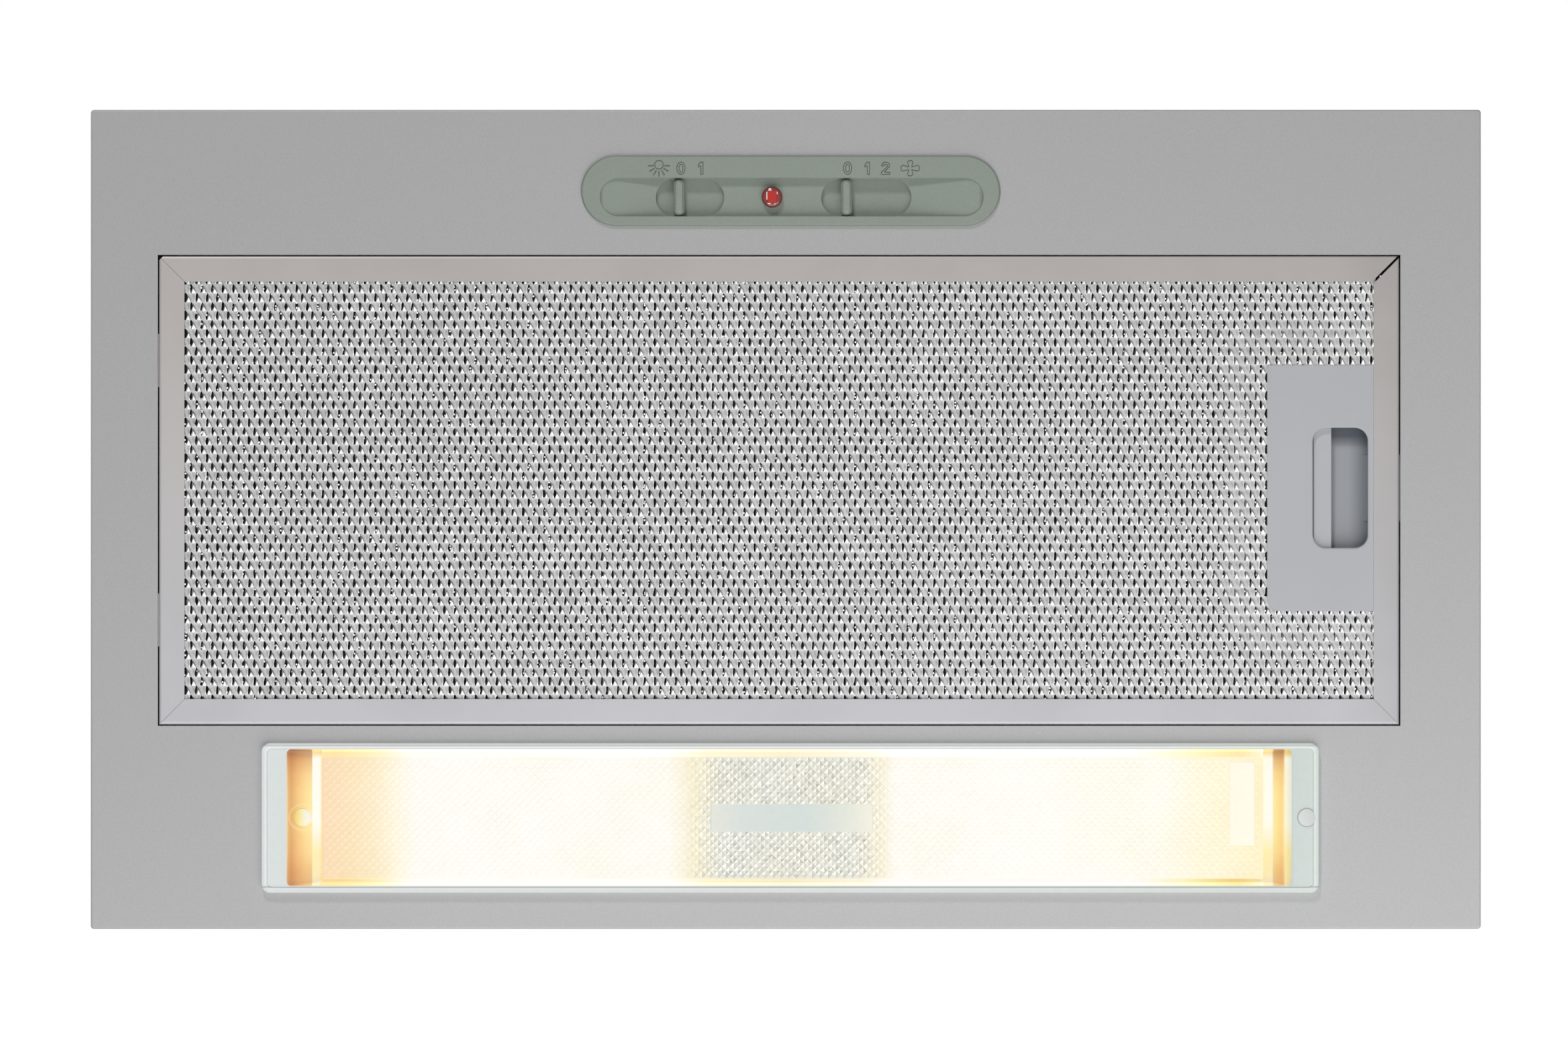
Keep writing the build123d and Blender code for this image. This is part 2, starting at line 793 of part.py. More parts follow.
def bracket_foot_seats():
    """Where the screws through the motor bracket's feet have their heads."""
    x = scroll_side + arm_thickness
    radius = leg_radius + arm_thickness + screw_head_radius + foot_screw_gap
    return [around_blower(x, angle, radius) for angle in arm_angles]


def make_motor_bracket():
    """A three-armed sheet bracket from the scroll's side to the back of the motor."""
    back = motor_start + motor_length
    bracket = tube((back, back + arm_thickness), bearing_radius, bracket_disc_radius)
    arm = block((back, back + arm_thickness), (bracket_disc_radius - 4, leg_radius + arm_thickness),
                centred(0, arm_width))
    arm += block((scroll_side, back), (leg_radius, leg_radius + arm_thickness), centred(0, arm_width))
    arm += block((scroll_side, scroll_side + arm_thickness), (leg_radius, leg_radius + foot_reach),
                 centred(0, arm_width))
    for angle in arm_angles:
        bracket += Pos(0, blower_y, blower_z) * Rot(angle, 0, 0) * arm
        bracket -= screw_hole(around_blower(back + arm_thickness, angle, motor_screw_circle), (-1, 0, 0))
    for seat in bracket_foot_seats():
        bracket -= screw_hole(seat, (-1, 0, 0))
    return bracket


def make_screws():
    """The screws, one group for each place that they hold."""
    back = motor_start + motor_length + arm_thickness
    inward = (-1, 0, 0)
    motor_seats = [around_blower(back, angle, motor_screw_circle) for angle in arm_angles]
    motor = [screw(seat, inward, motor_screw_length) for seat in motor_seats]
    motor += [screw(seat, inward, foot_screw_length) for seat in bracket_foot_seats()]
    scroll = [screw(seat, (0, 0, -1), sheet + ear_thickness) for seat in scroll_ear_seats()]
    scroll += [screw(lug_point(lug_length, angle), inward, 2 * lug_length) for angle in lug_angles]
    housing = [screw(seat, axis, sheet_screw_length) for seat, axis in housing_screw_seats()]
    collar = [screw(seat, (0, 0, -1), sheet_screw_length) for seat in collar_screw_seats()]
    groups = {
        "motor_screws": motor,
        "scroll_screws": scroll,
        "housing_screws": housing,
        "collar_screws": collar,
    }
    return {name: Compound([part.solid() for part in group]) for name, group in groups.items()}


# Pieces in the switch bay hang on the front partition
partition_front = bay_front - sheet
box_y = partition_front - box_depth / 2


def make_capacitor():
    """The run capacitor, and the band that holds it on the partition."""
    y = partition_front - clip_band - capacitor_radius
    start = (capacitor_x - capacitor_length / 2, y, capacitor_height)
    can = rod(start, (1, 0, 0), capacitor_radius, capacitor_length)
    band_start = (capacitor_x - clip_band_width / 2, y, capacitor_height)
    band = rod(band_start, (1, 0, 0), capacitor_radius + clip_band, clip_band_width)
    width = centred(capacitor_x, clip_band_width)
    height = centred(capacitor_height, clip_base_height)
    band += block(width, (partition_front - clip_band, partition_front), height)
    band -= can
    return {"run_capacitor": can, "capacitor_clip": band}


def make_wiring_box():
    """The wiring box, its cover and the terminal block inside."""
    x = centred(box_centre_x, box_width)
    y = (partition_front - box_depth, partition_front)
    z = (box_low, box_low + box_height)
    box = block(x, y, z)
    box -= block(grown(x, -box_wall), (y[0] - 1, y[1] - box_wall), grown(z, -box_wall))
    box -= rod((box_centre_x, box_y, z[1] + 1), (0, 0, -1), cable_radius + 1, box_wall + 2)
    cover = block(x, (y[0] - box_wall, y[0]), z)
    rim_x = grown(x, -box_wall)
    rim_z = grown(z, -box_wall)
    rim = block(rim_x, (y[0], y[0] + box_wall), rim_z)
    rim -= block(grown(rim_x, -box_wall), (y[0], y[0] + box_wall), grown(rim_z, -box_wall))
    cover += rim
    back = y[1] - box_wall
    middle = box_low + box_height / 2
    width, depth, height = terminal_size
    terminals = block(centred(box_centre_x, width), (back - depth, back), centred(middle, height))
    for count in (-1, 0, 1):
        mouth = (box_centre_x + count * terminal_pitch, back - depth, middle)
        terminals -= rod(mouth, (0, 1, 0), terminal_hole_radius, terminal_hole_depth)
    return {"wiring_box": box, "wiring_box_cover": cover, "terminal_block": terminals}


def make_grommet():
    """The rubber grommet in the top, where the mains cable comes in."""
    low = z_ceiling - grommet_rim
    high = housing_top + grommet_rim
    axis = (0, 0, 1)
    ring = rod((box_centre_x, box_y, low), axis, grommet_neck_radius, high - low)
    ring += rod((box_centre_x, box_y, low), axis, grommet_rim_radius, grommet_rim)
    ring += rod((box_centre_x, box_y, housing_top), axis, grommet_rim_radius, grommet_rim)
    return ring - rod((box_centre_x, box_y, low - 1), axis, cable_radius, high - low + 2)


def engraving(x, sketch, forward=0.0):
    """A flat mark cut up into the bezel's face."""
    y = panel_y_span[0] + marks_in - forward
    return extrude(Pos(x, y, z_bezel - 1) * sketch, 1 + mark_depth, dir=(0, 0, 1))


def outlined(sketch):
    """The thin line round the inside of a closed shape."""
    return sketch - offset(sketch, -mark_line)


def digit_zero():
    """The mark 0, as two thin rings."""
    mark = Sketch()
    for inset in (0.0, digit_stroke - mark_line):
        width, height = digit_width / 2 - inset, digit_height / 2 - inset
        mark += Ellipse(width, height) - Ellipse(width - mark_line, height - mark_line)
    return mark


def digit_one():
    """The mark 1 in outline, read with the front of the hood at the top."""
    right = one_stem_shift + digit_stroke / 2
    left = one_stem_shift - digit_stroke / 2
    top, foot = -digit_height / 2, digit_height / 2
    tip = (left - one_flag_reach / 2, top + one_flag_drop)
    return outlined(Polygon(
        (left, foot), (right, foot), (right, top), (left, top), tip,
        (tip[0], tip[1] + digit_stroke), (left, top + 1.5 * digit_stroke), align=None))


def digit_two():
    """The mark 2 in outline, read with the front of the hood at the top."""
    half_width, half_stroke = digit_width / 2, digit_stroke / 2
    bend = half_width - half_stroke
    top = half_width - digit_height / 2
    foot = digit_height / 2
    foot_top = foot - digit_stroke
    bow = trace(CenterArc((0, top), bend, 180, 180), digit_stroke)
    rest = Polygon(
        (bend - half_stroke, top), (half_width, top), (two_slant_end, foot_top), (half_width, foot_top),
        (half_width, foot), (-half_width, foot), (-half_width, foot_top), align=None)
    return outlined(bow + rest)


def lamp_mark():
    """A lamp: a ring with rays to the sides and away from the front."""
    mark = Circle(icon_lamp_radius) - Circle(icon_lamp_radius - mark_line)
    ray = Rectangle(icon_ray_end - icon_ray_start, icon_ray_width)
    for count in range(icon_ray_count):
        turned_ray = Rot(0, 0, icon_ray_step * count) * Pos((icon_ray_start + icon_ray_end) / 2, 0) * ray
        mark += Pos(0, icon_ray_shift) * turned_ray
    return mark


def fan_mark():
    """A fan: four flared blades in one outline."""
    mark = Sketch()
    for count in range(4):
        length = icon_blade_lengths[count % 2]
        blade = Polygon(
            (0, -icon_blade_root / 2), (length, -icon_blade_width / 2),
            (length, icon_blade_width / 2), (0, icon_blade_root / 2), align=None)
        blade = fillet(blade.vertices().sort_by(Axis.X)[-2:], icon_blade_corner)
        mark += Rot(0, 0, 90 * count) * blade
    return outlined(mark)


def make_control_panel():
    """The moulding: bezel, sunk trough with ramped ends, two windows and a channel behind them."""
    bezel = stadium_block(panel_x, panel_y_span, (z_bezel, z_face))
    bezel = fillet(bezel.faces().sort_by(Axis.Z)[0].edges(), bezel_edge_radius)
    body = stadium_block(panel_body_x, panel_body_y, (z_face, z_panel_back))
    panel = bezel + body
    sink = [
        (trough_x[0] - 1, z_bezel - 1), (trough_x[0] - 1, z_bezel + trough_end_sink),
        (trough_x[0], z_bezel + trough_end_sink), (flat_x[0], z_trough), (flat_x[1], z_trough),
        (trough_x[1], z_bezel + trough_end_sink), (trough_x[1] + 1, z_bezel + trough_end_sink),
        (trough_x[1] + 1, z_bezel - 1),
    ]
    wedge = prism([(x, trough_y_span[0] - 1, z) for x, z in sink], (0, 1, 0), trough_depth + 2)
    panel -= wedge & stadium_block(trough_x, trough_y_span, (z_bezel - 2, z_channel))
    inner_x = grown(panel_body_x, -panel_wall)
    panel -= block(inner_x, channel_y, (z_channel, z_panel_back + 1)) & stadium_block(
        inner_x, channel_y, (z_channel - 1, z_panel_back + 1))
    for window in (light_window, fan_window):
        panel -= stadium_block(window, window_y, (z_bezel, z_channel + 1))
    panel -= rod((indicator_x, trough_y, z_bezel), (0, 0, 1), indicator_stem_radius, 10)
    length, reach, height = hook_block
    hook_z = (z_plate + pin_gap, z_plate + pin_gap + height)
    for x in centred(panel_centre_x, hook_block_spacing):
        panel += block(centred(x, length), grown(panel_body_y, reach), hook_z) - block(
            centred(x, 2 * length), grown(panel_body_y, -panel_wall / 2), grown(hook_z, 1))
    for step, digit in enumerate((digit_zero(), digit_one())):
        panel -= engraving(light_knob_x + light_mark_shift + step * switch_step, digit)
    for step, digit in enumerate((digit_zero(), digit_one(), digit_two())):
        panel -= engraving(fan_knob_x + fan_mark_shift + step * switch_step, digit)
    panel -= engraving(flat_x[0] + light_icon_in, lamp_mark(), icon_lamp_forward)
    return panel - engraving(flat_x[1] - fan_icon_in, fan_mark())


def shutter_x(window, steps):
    """The stretch that a shutter takes at rest, so that it fills its window at every step."""
    return (window[0] - steps * switch_step - shutter_lap, window[1] + shutter_lap)


def make_slider(window, knob_x, steps):
    """A switch slider: the shutter behind its window, the knob below and the stem above."""
    z = (z_channel + moving_gap, z_channel + moving_gap + shutter_thickness)
    slider = stadium_block(shutter_x(window, steps), shutter_y, z)
    knob_y = grown(window_y, -moving_gap)
    knob = block(centred(knob_x, knob_width), knob_y, (z_bezel - knob_proud, z[0]))
    knob = fillet(knob.edges().filter_by(Axis.Z), knob_radius)
    knob = fillet(knob.faces().sort_by(Axis.Z)[0].edges(), knob_radius - 0.1)
    middle_y = (window_y[0] + window_y[1]) / 2
    stem = block(centred(knob_x, stem_size), centred(middle_y, stem_size), (z[0], z[1] + stem_height))
    return slider + knob + stem


def make_switch(knob_x, steps):
    """A slide switch body with a slot below for the slider's stem."""
    travel = steps * switch_step
    middle_y = (window_y[0] + window_y[1]) / 2
    low = z_panel_back + moving_gap
    slot_x = (knob_x - stem_size / 2 - moving_gap, knob_x + travel + stem_size / 2 + moving_gap)
    body = block(grown(slot_x, switch_margin), centred(middle_y, switch_depth), (low, low + switch_height))
    slot_y = centred(middle_y, stem_size + 2 * moving_gap)
    return body - block(slot_x, slot_y, (low - 1, low + switch_slot_height))


def make_switch_bracket():
    """The sheet bridge that carries the switches and stands on the plate."""
    low = z_panel_back + moving_gap + switch_height
    x = grown(panel_body_x, bracket_end)
    y = centred((window_y[0] + window_y[1]) / 2, switch_depth)
    bridge = block(x, y, (low, low + bracket_thickness))
    for end, inward in ((x[0], 1), (x[1], -1)):
        leg = (min(end, end + inward * bracket_thickness), max(end, end + inward * bracket_thickness))
        foot = (min(end, end - inward * bracket_foot), max(end, end - inward * bracket_foot))
        bridge += block(leg, y, (z_plate, low))
        bridge += block(foot, y, (z_plate, z_plate + bracket_thickness))
    return bridge


def make_indicator():
    """The red lens with its light guide, and the lamp behind it."""
    low = z_trough - indicator_rim
    cap_radius = (indicator_radius ** 2 + indicator_dome ** 2) / (2 * indicator_dome)
    ball = Pos(indicator_x, trough_y, low - indicator_dome + cap_radius) * Sphere(cap_radius)
    dome = ball & rod((indicator_x, trough_y, low), (0, 0, -1), indicator_radius, indicator_dome + 1)
    lens = dome + rod((indicator_x, trough_y, low), (0, 0, 1), indicator_radius, indicator_rim)
    guide_top = z_panel_back
    lens += rod((indicator_x, trough_y, low), (0, 0, 1), indicator_stem_radius, guide_top - low)
    bracket_low = z_panel_back + moving_gap + switch_height
    neon = rod((indicator_x, trough_y, guide_top), (0, 0, 1), neon_radius, bracket_low - guide_top)
    return {"indicator_lens": lens, "indicator_lamp": neon}


def make_filter_frame():
    """One channel folded at three corners, with its open joint at the front right corner."""
    z = (z_filter, z_filter_top)
    ring = block(filter_x, filter_y, z)
    ring = fillet(ring.faces().sort_by(Axis.Z)[0].edges(), channel_edge_radius)
    ring -= block(grown(filter_x, -channel_wall), grown(filter_y, -channel_wall), grown(z, -channel_wall))
    ring -= block(grown(filter_x, -rail_width), grown(filter_y, -rail_width), grown(z, 1))
    reach = 2 * rail_width
    gap = Box(reach, mitre_gap, filter_height + 2)
    middle = rail_width / 2
    open_corner = Pos(filter_x[1] - middle, filter_y[0] + middle, z_filter + filter_height / 2)
    ring -= open_corner * Rot(0, 0, -45) * gap
    line = Box(math.sqrt(2) * rail_width + mitre_line, mitre_line, 2 * mitre_depth)
    for x, y, turn in ((0, 0, 45), (0, 1, -45), (1, 1, 45)):
        corner_x = filter_x[x] + (1 - 2 * x) * middle
        corner_y = filter_y[y] + (1 - 2 * y) * middle
        ring -= Pos(corner_x, corner_y, z_filter) * Rot(0, 0, turn) * line
    notch = Box(math.sqrt(2) * corner_clip, math.sqrt(2) * corner_clip, 3 * filter_height)
    ring -= Pos(filter_x[0], filter_y[0], z_filter) * Rot(0, 0, 45) * notch
    for y in hook_spans():
        ring -= block((filter_x[0] - 1, filter_x[0] + 1), y, hook_z())
    bolt_slot = (grown(bolt_y(), moving_gap), grown(bolt_z(), moving_gap))
    return ring - block(centred(filter_x[1], 4 * channel_wall), *bolt_slot)


def hook_spans():
    """The stretches along Y that the two hooks take."""
    start = filter_y[0] + hook_from_front
    return [(start, start + hook_width), (start + hook_spacing, start + hook_spacing + hook_width)]


def hook_z():
    """The hooks lie just above the plate."""
    return (z_plate + moving_gap, z_plate + moving_gap + hook_thickness)


def make_filter_hooks():
    """Two T-shaped tabs that reach out of the channel over the plate's left edge."""
    hooks = []
    z = hook_z()
    web = filter_x[0] + channel_wall
    for y in hook_spans():
        tab = block((filter_x[0] - hook_reach, web), y, z)
        tab += block((web, web + hook_foot), grown(y, hook_foot_spread), z)
        hooks.append(tab.solid())
    return Compound(hooks)


def latch_x():
    """The latch housing from the mesh to the inside of the frame's right web."""
    return (filter_x[1] - rail_width - latch_reach, filter_x[1] - channel_wall)


def latch_y():
    """The latch housing along Y."""
    return (filter_y[0] + latch_from_front, filter_y[0] + latch_from_front + latch_length)


def pocket_x():
    """The finger pocket along X."""
    right = filter_x[1] - rail_width - pocket_from_rail
    return (right - pocket_width, right)


def pocket_y():
    """The finger pocket along Y."""
    front = latch_y()[0] + pocket_from_end
    return (front, front + pocket_length)


def bolt_y():
    """The latch bolt along Y, in the middle of the pocket."""
    return centred((pocket_y()[0] + pocket_y()[1]) / 2, bolt_width)


def bolt_z():
    """The latch bolt lies just above the plate's right edge."""
    return (z_plate + moving_gap, z_plate + moving_gap + bolt_height)


def latch_cavity():
    """The room for the slider inside the latch housing: its limits along X, Y and Z."""
    x = (latch_x()[0] + latch_wall, latch_x()[1] - latch_wall)
    y = grown(pocket_y(), slider_margin + moving_gap)
    z = (z_filter + latch_recess + latch_wall, z_filter_top - channel_wall - latch_roof)
    return x, y, z


def mesh_sheet(low):
    """One mesh, tucked into the channel all round and cut away for the latch housing."""
    tuck = rail_width - mesh_tuck
    x = grown(filter_x, -tuck)
    y = grown(filter_y, -tuck)
    z = (low, low + mesh_thickness)
    notch_x = (latch_x()[0] - moving_gap, x[1] + 1)
    return block(x, y, z) - block(notch_x, grown(latch_y(), moving_gap), grown(z, 1))


def make_meshes():
    """The meshes, spaced evenly between the channel's two webs."""
    low = z_filter + channel_wall
    room = filter_height - 2 * channel_wall - mesh_thickness
    sheets = [mesh_sheet(low + room * count / (mesh_layers - 1)) for count in range(mesh_layers)]
    return {
        "front_mesh": sheets[0],
        "inner_meshes": Compound([layer.solid() for layer in sheets[1:-1]]),
        "back_mesh": sheets[-1],
    }


def make_latch_housing():
    """The grey plastic housing, held in the frame's right rail."""
    x, y = latch_x(), latch_y()
    rail = filter_x[1] - rail_width
    top = z_filter_top - channel_wall
    z_latch = z_filter + latch_recess
    face = block((x[0], rail), y, (z_latch, top))
    for place, radius in ((0, latch_front_radius), (-1, latch_back_radius)):
        left_edges = face.edges().filter_by(Axis.Z).sort_by(Axis.X)[:2]
        face = fillet(left_edges.sort_by(Axis.Y)[place], radius)
    housing = face + block((rail, x[1]), y, (z_filter + channel_wall, top))
    cavity_x, cavity_y, cavity_z = latch_cavity()
    housing -= block(cavity_x, cavity_y, cavity_z)
    housing -= rounded_block(pocket_x(), pocket_y(), (z_filter - 1, cavity_z[0] + 1), pocket_corner_radius)
    rim = housing.faces().sort_by(Axis.Z)[0].inner_wires()[0]
    housing = fillet(rim.edges(), pocket_edge_radius)
    housing -= block((pocket_x()[1], x[1] + 1), grown(bolt_y(), moving_gap), grown(bolt_z(), moving_gap))
    for end in ((y[0] + latch_wall, cavity_y[0] - latch_wall), (cavity_y[1] + latch_wall, y[1] - latch_wall)):
        housing -= block(cavity_x, end, (cavity_z[0], top + 1))
    return housing


def make_latch_slider():
    """The finger grip, the plate above the pocket, the scooped end and the bolt."""
    cavity_x, cavity_y, cavity_z = latch_cavity()
    y = grown(cavity_y, -moving_gap)
    left = pocket_x()[0] + moving_gap
    plate_z = (cavity_z[1] - moving_gap - slider_plate, cavity_z[1] - moving_gap)
    shoulder = pocket_x()[1] + shoulder_lap
    slider = block((left, shoulder + bolt_root), y, plate_z)
    slider += block((left, left + grip_width), y, (cavity_z[0] + moving_gap, plate_z[0]))
    bolt_low, bolt_high = bolt_z()
    slider += block((shoulder, shoulder + bolt_root), bolt_y(), (bolt_low, plate_z[0]))
    scoop = block((shoulder - scoop_radius, shoulder), bolt_y(), (cavity_z[0] + moving_gap, plate_z[0]))
    scoop_start = (shoulder - scoop_radius, bolt_y()[0] - 1, plate_z[0] - scoop_radius)
    scoop -= rod(scoop_start, (0, 1, 0), scoop_radius, bolt_width + 2)
    slider += scoop
    slider += block((shoulder, filter_x[1] + bolt_reach), bolt_y(), (bolt_low, bolt_high))
    return slider


def make_latch_springs():
    """Two coil springs between the housing's left wall and the slider's grip."""
    cavity_x, cavity_y, cavity_z = latch_cavity()
    start = cavity_x[0] + spring_wire / 2
    length = pocket_x()[0] + moving_gap - spring_wire / 2 - start
    middle = (pocket_y()[0] + pocket_y()[1]) / 2
    z = (cavity_z[0] + moving_gap + cavity_z[1] - moving_gap - slider_plate) / 2
    springs = []
    for y in (middle - spring_offset, middle + spring_offset):
        path = Helix(pitch=length / spring_coils, height=length, radius=spring_radius)
        wire = Plane(origin=path @ 0, z_dir=path % 0) * Circle(spring_wire / 2)
        coil = sweep(wire, path=path)
        springs.append((Pos(start, y, z) * Rot(0, 90, 0) * coil).solid())
    return Compound(springs)


def make_reflector():
    """The open sheet box over the lamp mouth, with flanges that lie on the plate."""
    outer_x = grown(mouth_x, reflector_wall)
    outer_y = grown(mouth_y, reflector_wall)
    top = z_plate + reflector_height
    box = block(outer_x, outer_y, (z_plate, top))
    box -= block(mouth_x, mouth_y, (z_plate - 1, top - reflector_wall))
    flange_z = (z_plate, z_plate + reflector_wall)
    flange = block(grown(outer_x, reflector_flange), (outer_y[0] - reflector_lip, outer_y[1]), flange_z)
    flange -= block(outer_x, outer_y, grown(flange_z, 1))
    flange -= rod((right_button_x, button_y, z_plate - 1), (0, 0, 1), button_stem_radius + moving_gap, 4)
    return box + flange


# The bulbs lie end to end along the lamp bay
bulb_z = z_plate + bulb_height
holder_out = holder_web_half + holder_length


def make_holder_bracket():
    """An inverted U of sheet that hangs from the reflector's roof and carries both holders."""
    roof = z_plate + reflector_height - reflector_wall
    x = centred(lamp_centre_x, 2 * holder_web_half)
    y = centred(button_y, holder_leg_width)
    bracket = block(x, y, (roof - sheet, roof))
    low = bulb_z - holder_radius
    bracket += block((x[0], x[0] + sheet), y, (low, roof))
    bracket += block((x[1] - sheet, x[1]), y, (low, roof))
    return bracket


def mirrored_pair(right):
    """A piece at the right of the lamp centre, and its mirror image at the left."""
    return mirror(right, Plane.YZ.offset(lamp_centre_x)), right


def make_lamp_holders():
    """Two round holders, each open at its outer end."""
    start = (lamp_centre_x + holder_web_half, button_y, bulb_z)
    holder = rod(start, (1, 0, 0), holder_radius, holder_length)
    mouth = (lamp_centre_x + holder_out - holder_bore_depth, button_y, bulb_z)
    holder -= rod(mouth, (1, 0, 0), bulb_cap_radius + moving_gap, holder_bore_depth + 1)
    left, right = mirrored_pair(holder)
    return {"lamp_holder_left": left, "lamp_holder_right": right}


def make_bulbs():
    """Two candle bulbs: a metal cap in each holder and a glass beyond it."""
    cap_end = lamp_centre_x + holder_out
    cap = rod((cap_end - bulb_cap_length, button_y, bulb_z), (1, 0, 0), bulb_cap_radius, bulb_cap_length)
    length = bulb_glass_length
    outline = Line((0, 0), (0, bulb_neck_radius))
    outline += Spline(
        (0, bulb_neck_radius), (0.13 * length, 0.56 * bulb_radius), (0.42 * length, bulb_radius),
        (0.8 * length, 0.62 * bulb_radius), (length, 0), tangents=[(1, 0), (0.15, -1)])
    outline += Line((length, 0), (0, 0))
    glass = revolve(make_face(outline), Axis.X)
    glass = Pos(cap_end, button_y, bulb_z) * glass
    left_cap, right_cap = mirrored_pair(cap)
    left_glass, right_glass = mirrored_pair(glass)
    return {
        "bulb_caps": Compound([left_cap.solid(), right_cap.solid()]),
        "bulb_glass_left": left_glass,
        "bulb_glass_right": right_glass,
    }


def make_lamp_cover():
    """The clear cover: a flange with a bead, and a shallow tub that locates in the mouth."""
    flange = rounded_block(cover_x, cover_y, (z_cover, z_cover_back), cover_corner_radius)
    rim = rounded_block(cover_x, cover_y, (z_cover - bead_height, z_cover), cover_corner_radius)
    inner_radius = cover_corner_radius - 0.5 * bead_width
    rim -= rounded_block(grown(cover_x, -bead_width), grown(cover_y, -bead_width),
                         (z_cover - 2 * bead_height, z_cover), inner_radius)
    x = grown(mouth_x, -tub_clearance)
    y = grown(mouth_y, -tub_clearance)
    top = z_cover_back + tub_depth
    outer = [(x[0], z_cover), (x[0], z_cover_back), (x[0] + tub_slope, top),
             (x[1] - tub_slope, top), (x[1], z_cover_back), (x[1], z_cover)]
    tub = prism([(px, y[0], pz) for px, pz in outer], (0, 1, 0), y[1] - y[0])
    tub &= rounded_block(x, y, (z_cover - 1, top + 1), tub_corner_radius)
    rim -= rod((right_button_x, button_y, z_cover), (0, 0, -1), button_radius + button_gap, 2 * bead_height)
    cover = flange + rim + tub
    low = z_cover - bead_height
    inner = [(x[0] + tub_wall, low), (x[0] + tub_wall, z_cover_back), (x[0] + tub_slope, top - tub_wall),
             (x[1] - tub_slope, top - tub_wall), (x[1] - tub_wall, z_cover_back), (x[1] - tub_wall, low)]
    void_y = grown(y, -tub_wall)
    void = prism([(px, void_y[0], pz) for px, pz in inner], (0, 1, 0), void_y[1] - void_y[0])
    void &= rounded_block(grown(x, -tub_wall), void_y, (low - 1, top), tub_corner_radius - tub_wall)
    cover -= void
    left_stem = (left_button_x, button_y)
    boss = rod((*left_stem, z_cover_back), (0, 0, 1), left_boss_radius, tub_depth - tub_wall)
    cover += boss
    for place_x in (left_button_x, right_button_x):
        cover -= rod((place_x, button_y, low - 1), (0, 0, 1), button_stem_radius, tub_depth + 10)
    for place_x, side in notch_places:
        edge = cover_y[0] if side < 0 else cover_y[1]
        cover -= block(centred(place_x, notch_width), centred(edge, 2 * notch_depth), (low, z_cover))
    return cover


def make_cover_buttons():
    """Two domed pins that hold the cover: one in the tub's boss, one through the plate."""
    buttons = []
    boss_length = tub_depth - tub_wall
    through_plate = cover_thickness + moving_gap + sheet + button_stem_reach
    places = ((left_button_x, z_cover_back, boss_length), (right_button_x, z_cover, through_plate))
    for x, seat, stem_length in places:
        head = rod((x, button_y, seat), (0, 0, -1), button_radius, button_height)
        head = fillet(head.faces().sort_by(Axis.Z)[0].edges(), 0.8 * button_height)
        button = head + rod((x, button_y, seat), (0, 0, 1), button_stem_radius, stem_length)
        buttons.append(button.solid())
    return Compound(buttons)


pieces = {
    "face_plate": make_face_plate(),
    "housing_top_panel": make_housing_top(),
    "filter_stops": make_filter_stops(),
    "cabinet_clips": make_cabinet_clips(),
    "outlet_collar": make_collar(),
    "damper_pin": damper_axle(damper_pin_radius, collar_radius),
    "damper_flap_front": make_damper_flap(-1),
    "damper_flap_back": make_damper_flap(1),
    "scroll_left": make_scroll_half(-1),
    "scroll_right": make_scroll_half(1),
    "impeller": make_impeller(),
    "motor_bracket": make_motor_bracket(),
    "cable_grommet": make_grommet(),
    "control_panel": make_control_panel(),
    "light_slider": make_slider(light_window, light_knob_x, 1),
    "fan_slider": make_slider(fan_window, fan_knob_x, 2),
    "light_switch": make_switch(light_knob_x, 1),
    "fan_switch": make_switch(fan_knob_x, 2),
    "switch_bracket": make_switch_bracket(),
    "filter_frame": make_filter_frame(),
    "filter_hooks": make_filter_hooks(),
    "latch_housing": make_latch_housing(),
    "latch_slider": make_latch_slider(),
    "latch_springs": make_latch_springs(),
    "lamp_reflector": make_reflector(),
    "lamp_holder_bracket": make_holder_bracket(),
    "lamp_cover": make_lamp_cover(),
    "cover_buttons": make_cover_buttons(),
}
for group in (make_housing_walls, make_partitions, make_motor, make_rotating_parts, make_screws,
              make_capacitor, make_wiring_box, make_indicator, make_meshes, make_lamp_holders, make_bulbs):
    pieces.update(group())

for name, piece in pieces.items():
    export_step(piece, f"parts/{name}.step")
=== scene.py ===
import bpy
import json
import math
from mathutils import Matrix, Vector, noise


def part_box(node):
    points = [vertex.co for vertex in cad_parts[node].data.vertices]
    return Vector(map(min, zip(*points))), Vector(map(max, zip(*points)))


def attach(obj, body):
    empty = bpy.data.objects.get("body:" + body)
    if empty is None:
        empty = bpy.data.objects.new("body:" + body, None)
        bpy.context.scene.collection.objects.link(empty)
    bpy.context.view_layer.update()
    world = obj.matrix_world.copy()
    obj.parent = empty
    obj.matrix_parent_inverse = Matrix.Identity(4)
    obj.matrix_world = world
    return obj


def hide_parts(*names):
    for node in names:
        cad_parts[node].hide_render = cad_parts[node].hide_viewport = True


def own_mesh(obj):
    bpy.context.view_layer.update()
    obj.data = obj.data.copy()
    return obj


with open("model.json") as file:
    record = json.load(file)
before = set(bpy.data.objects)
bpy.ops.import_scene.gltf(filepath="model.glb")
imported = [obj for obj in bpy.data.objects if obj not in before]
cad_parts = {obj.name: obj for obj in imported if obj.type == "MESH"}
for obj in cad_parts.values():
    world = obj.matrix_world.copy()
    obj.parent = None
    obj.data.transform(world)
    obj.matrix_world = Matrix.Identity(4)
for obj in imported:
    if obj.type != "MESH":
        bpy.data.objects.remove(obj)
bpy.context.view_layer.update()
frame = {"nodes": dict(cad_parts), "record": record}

# The small knocks to the meshes are drawn the same way in every run
NOISE_SEED = 1
noise.seed_set(NOISE_SEED)

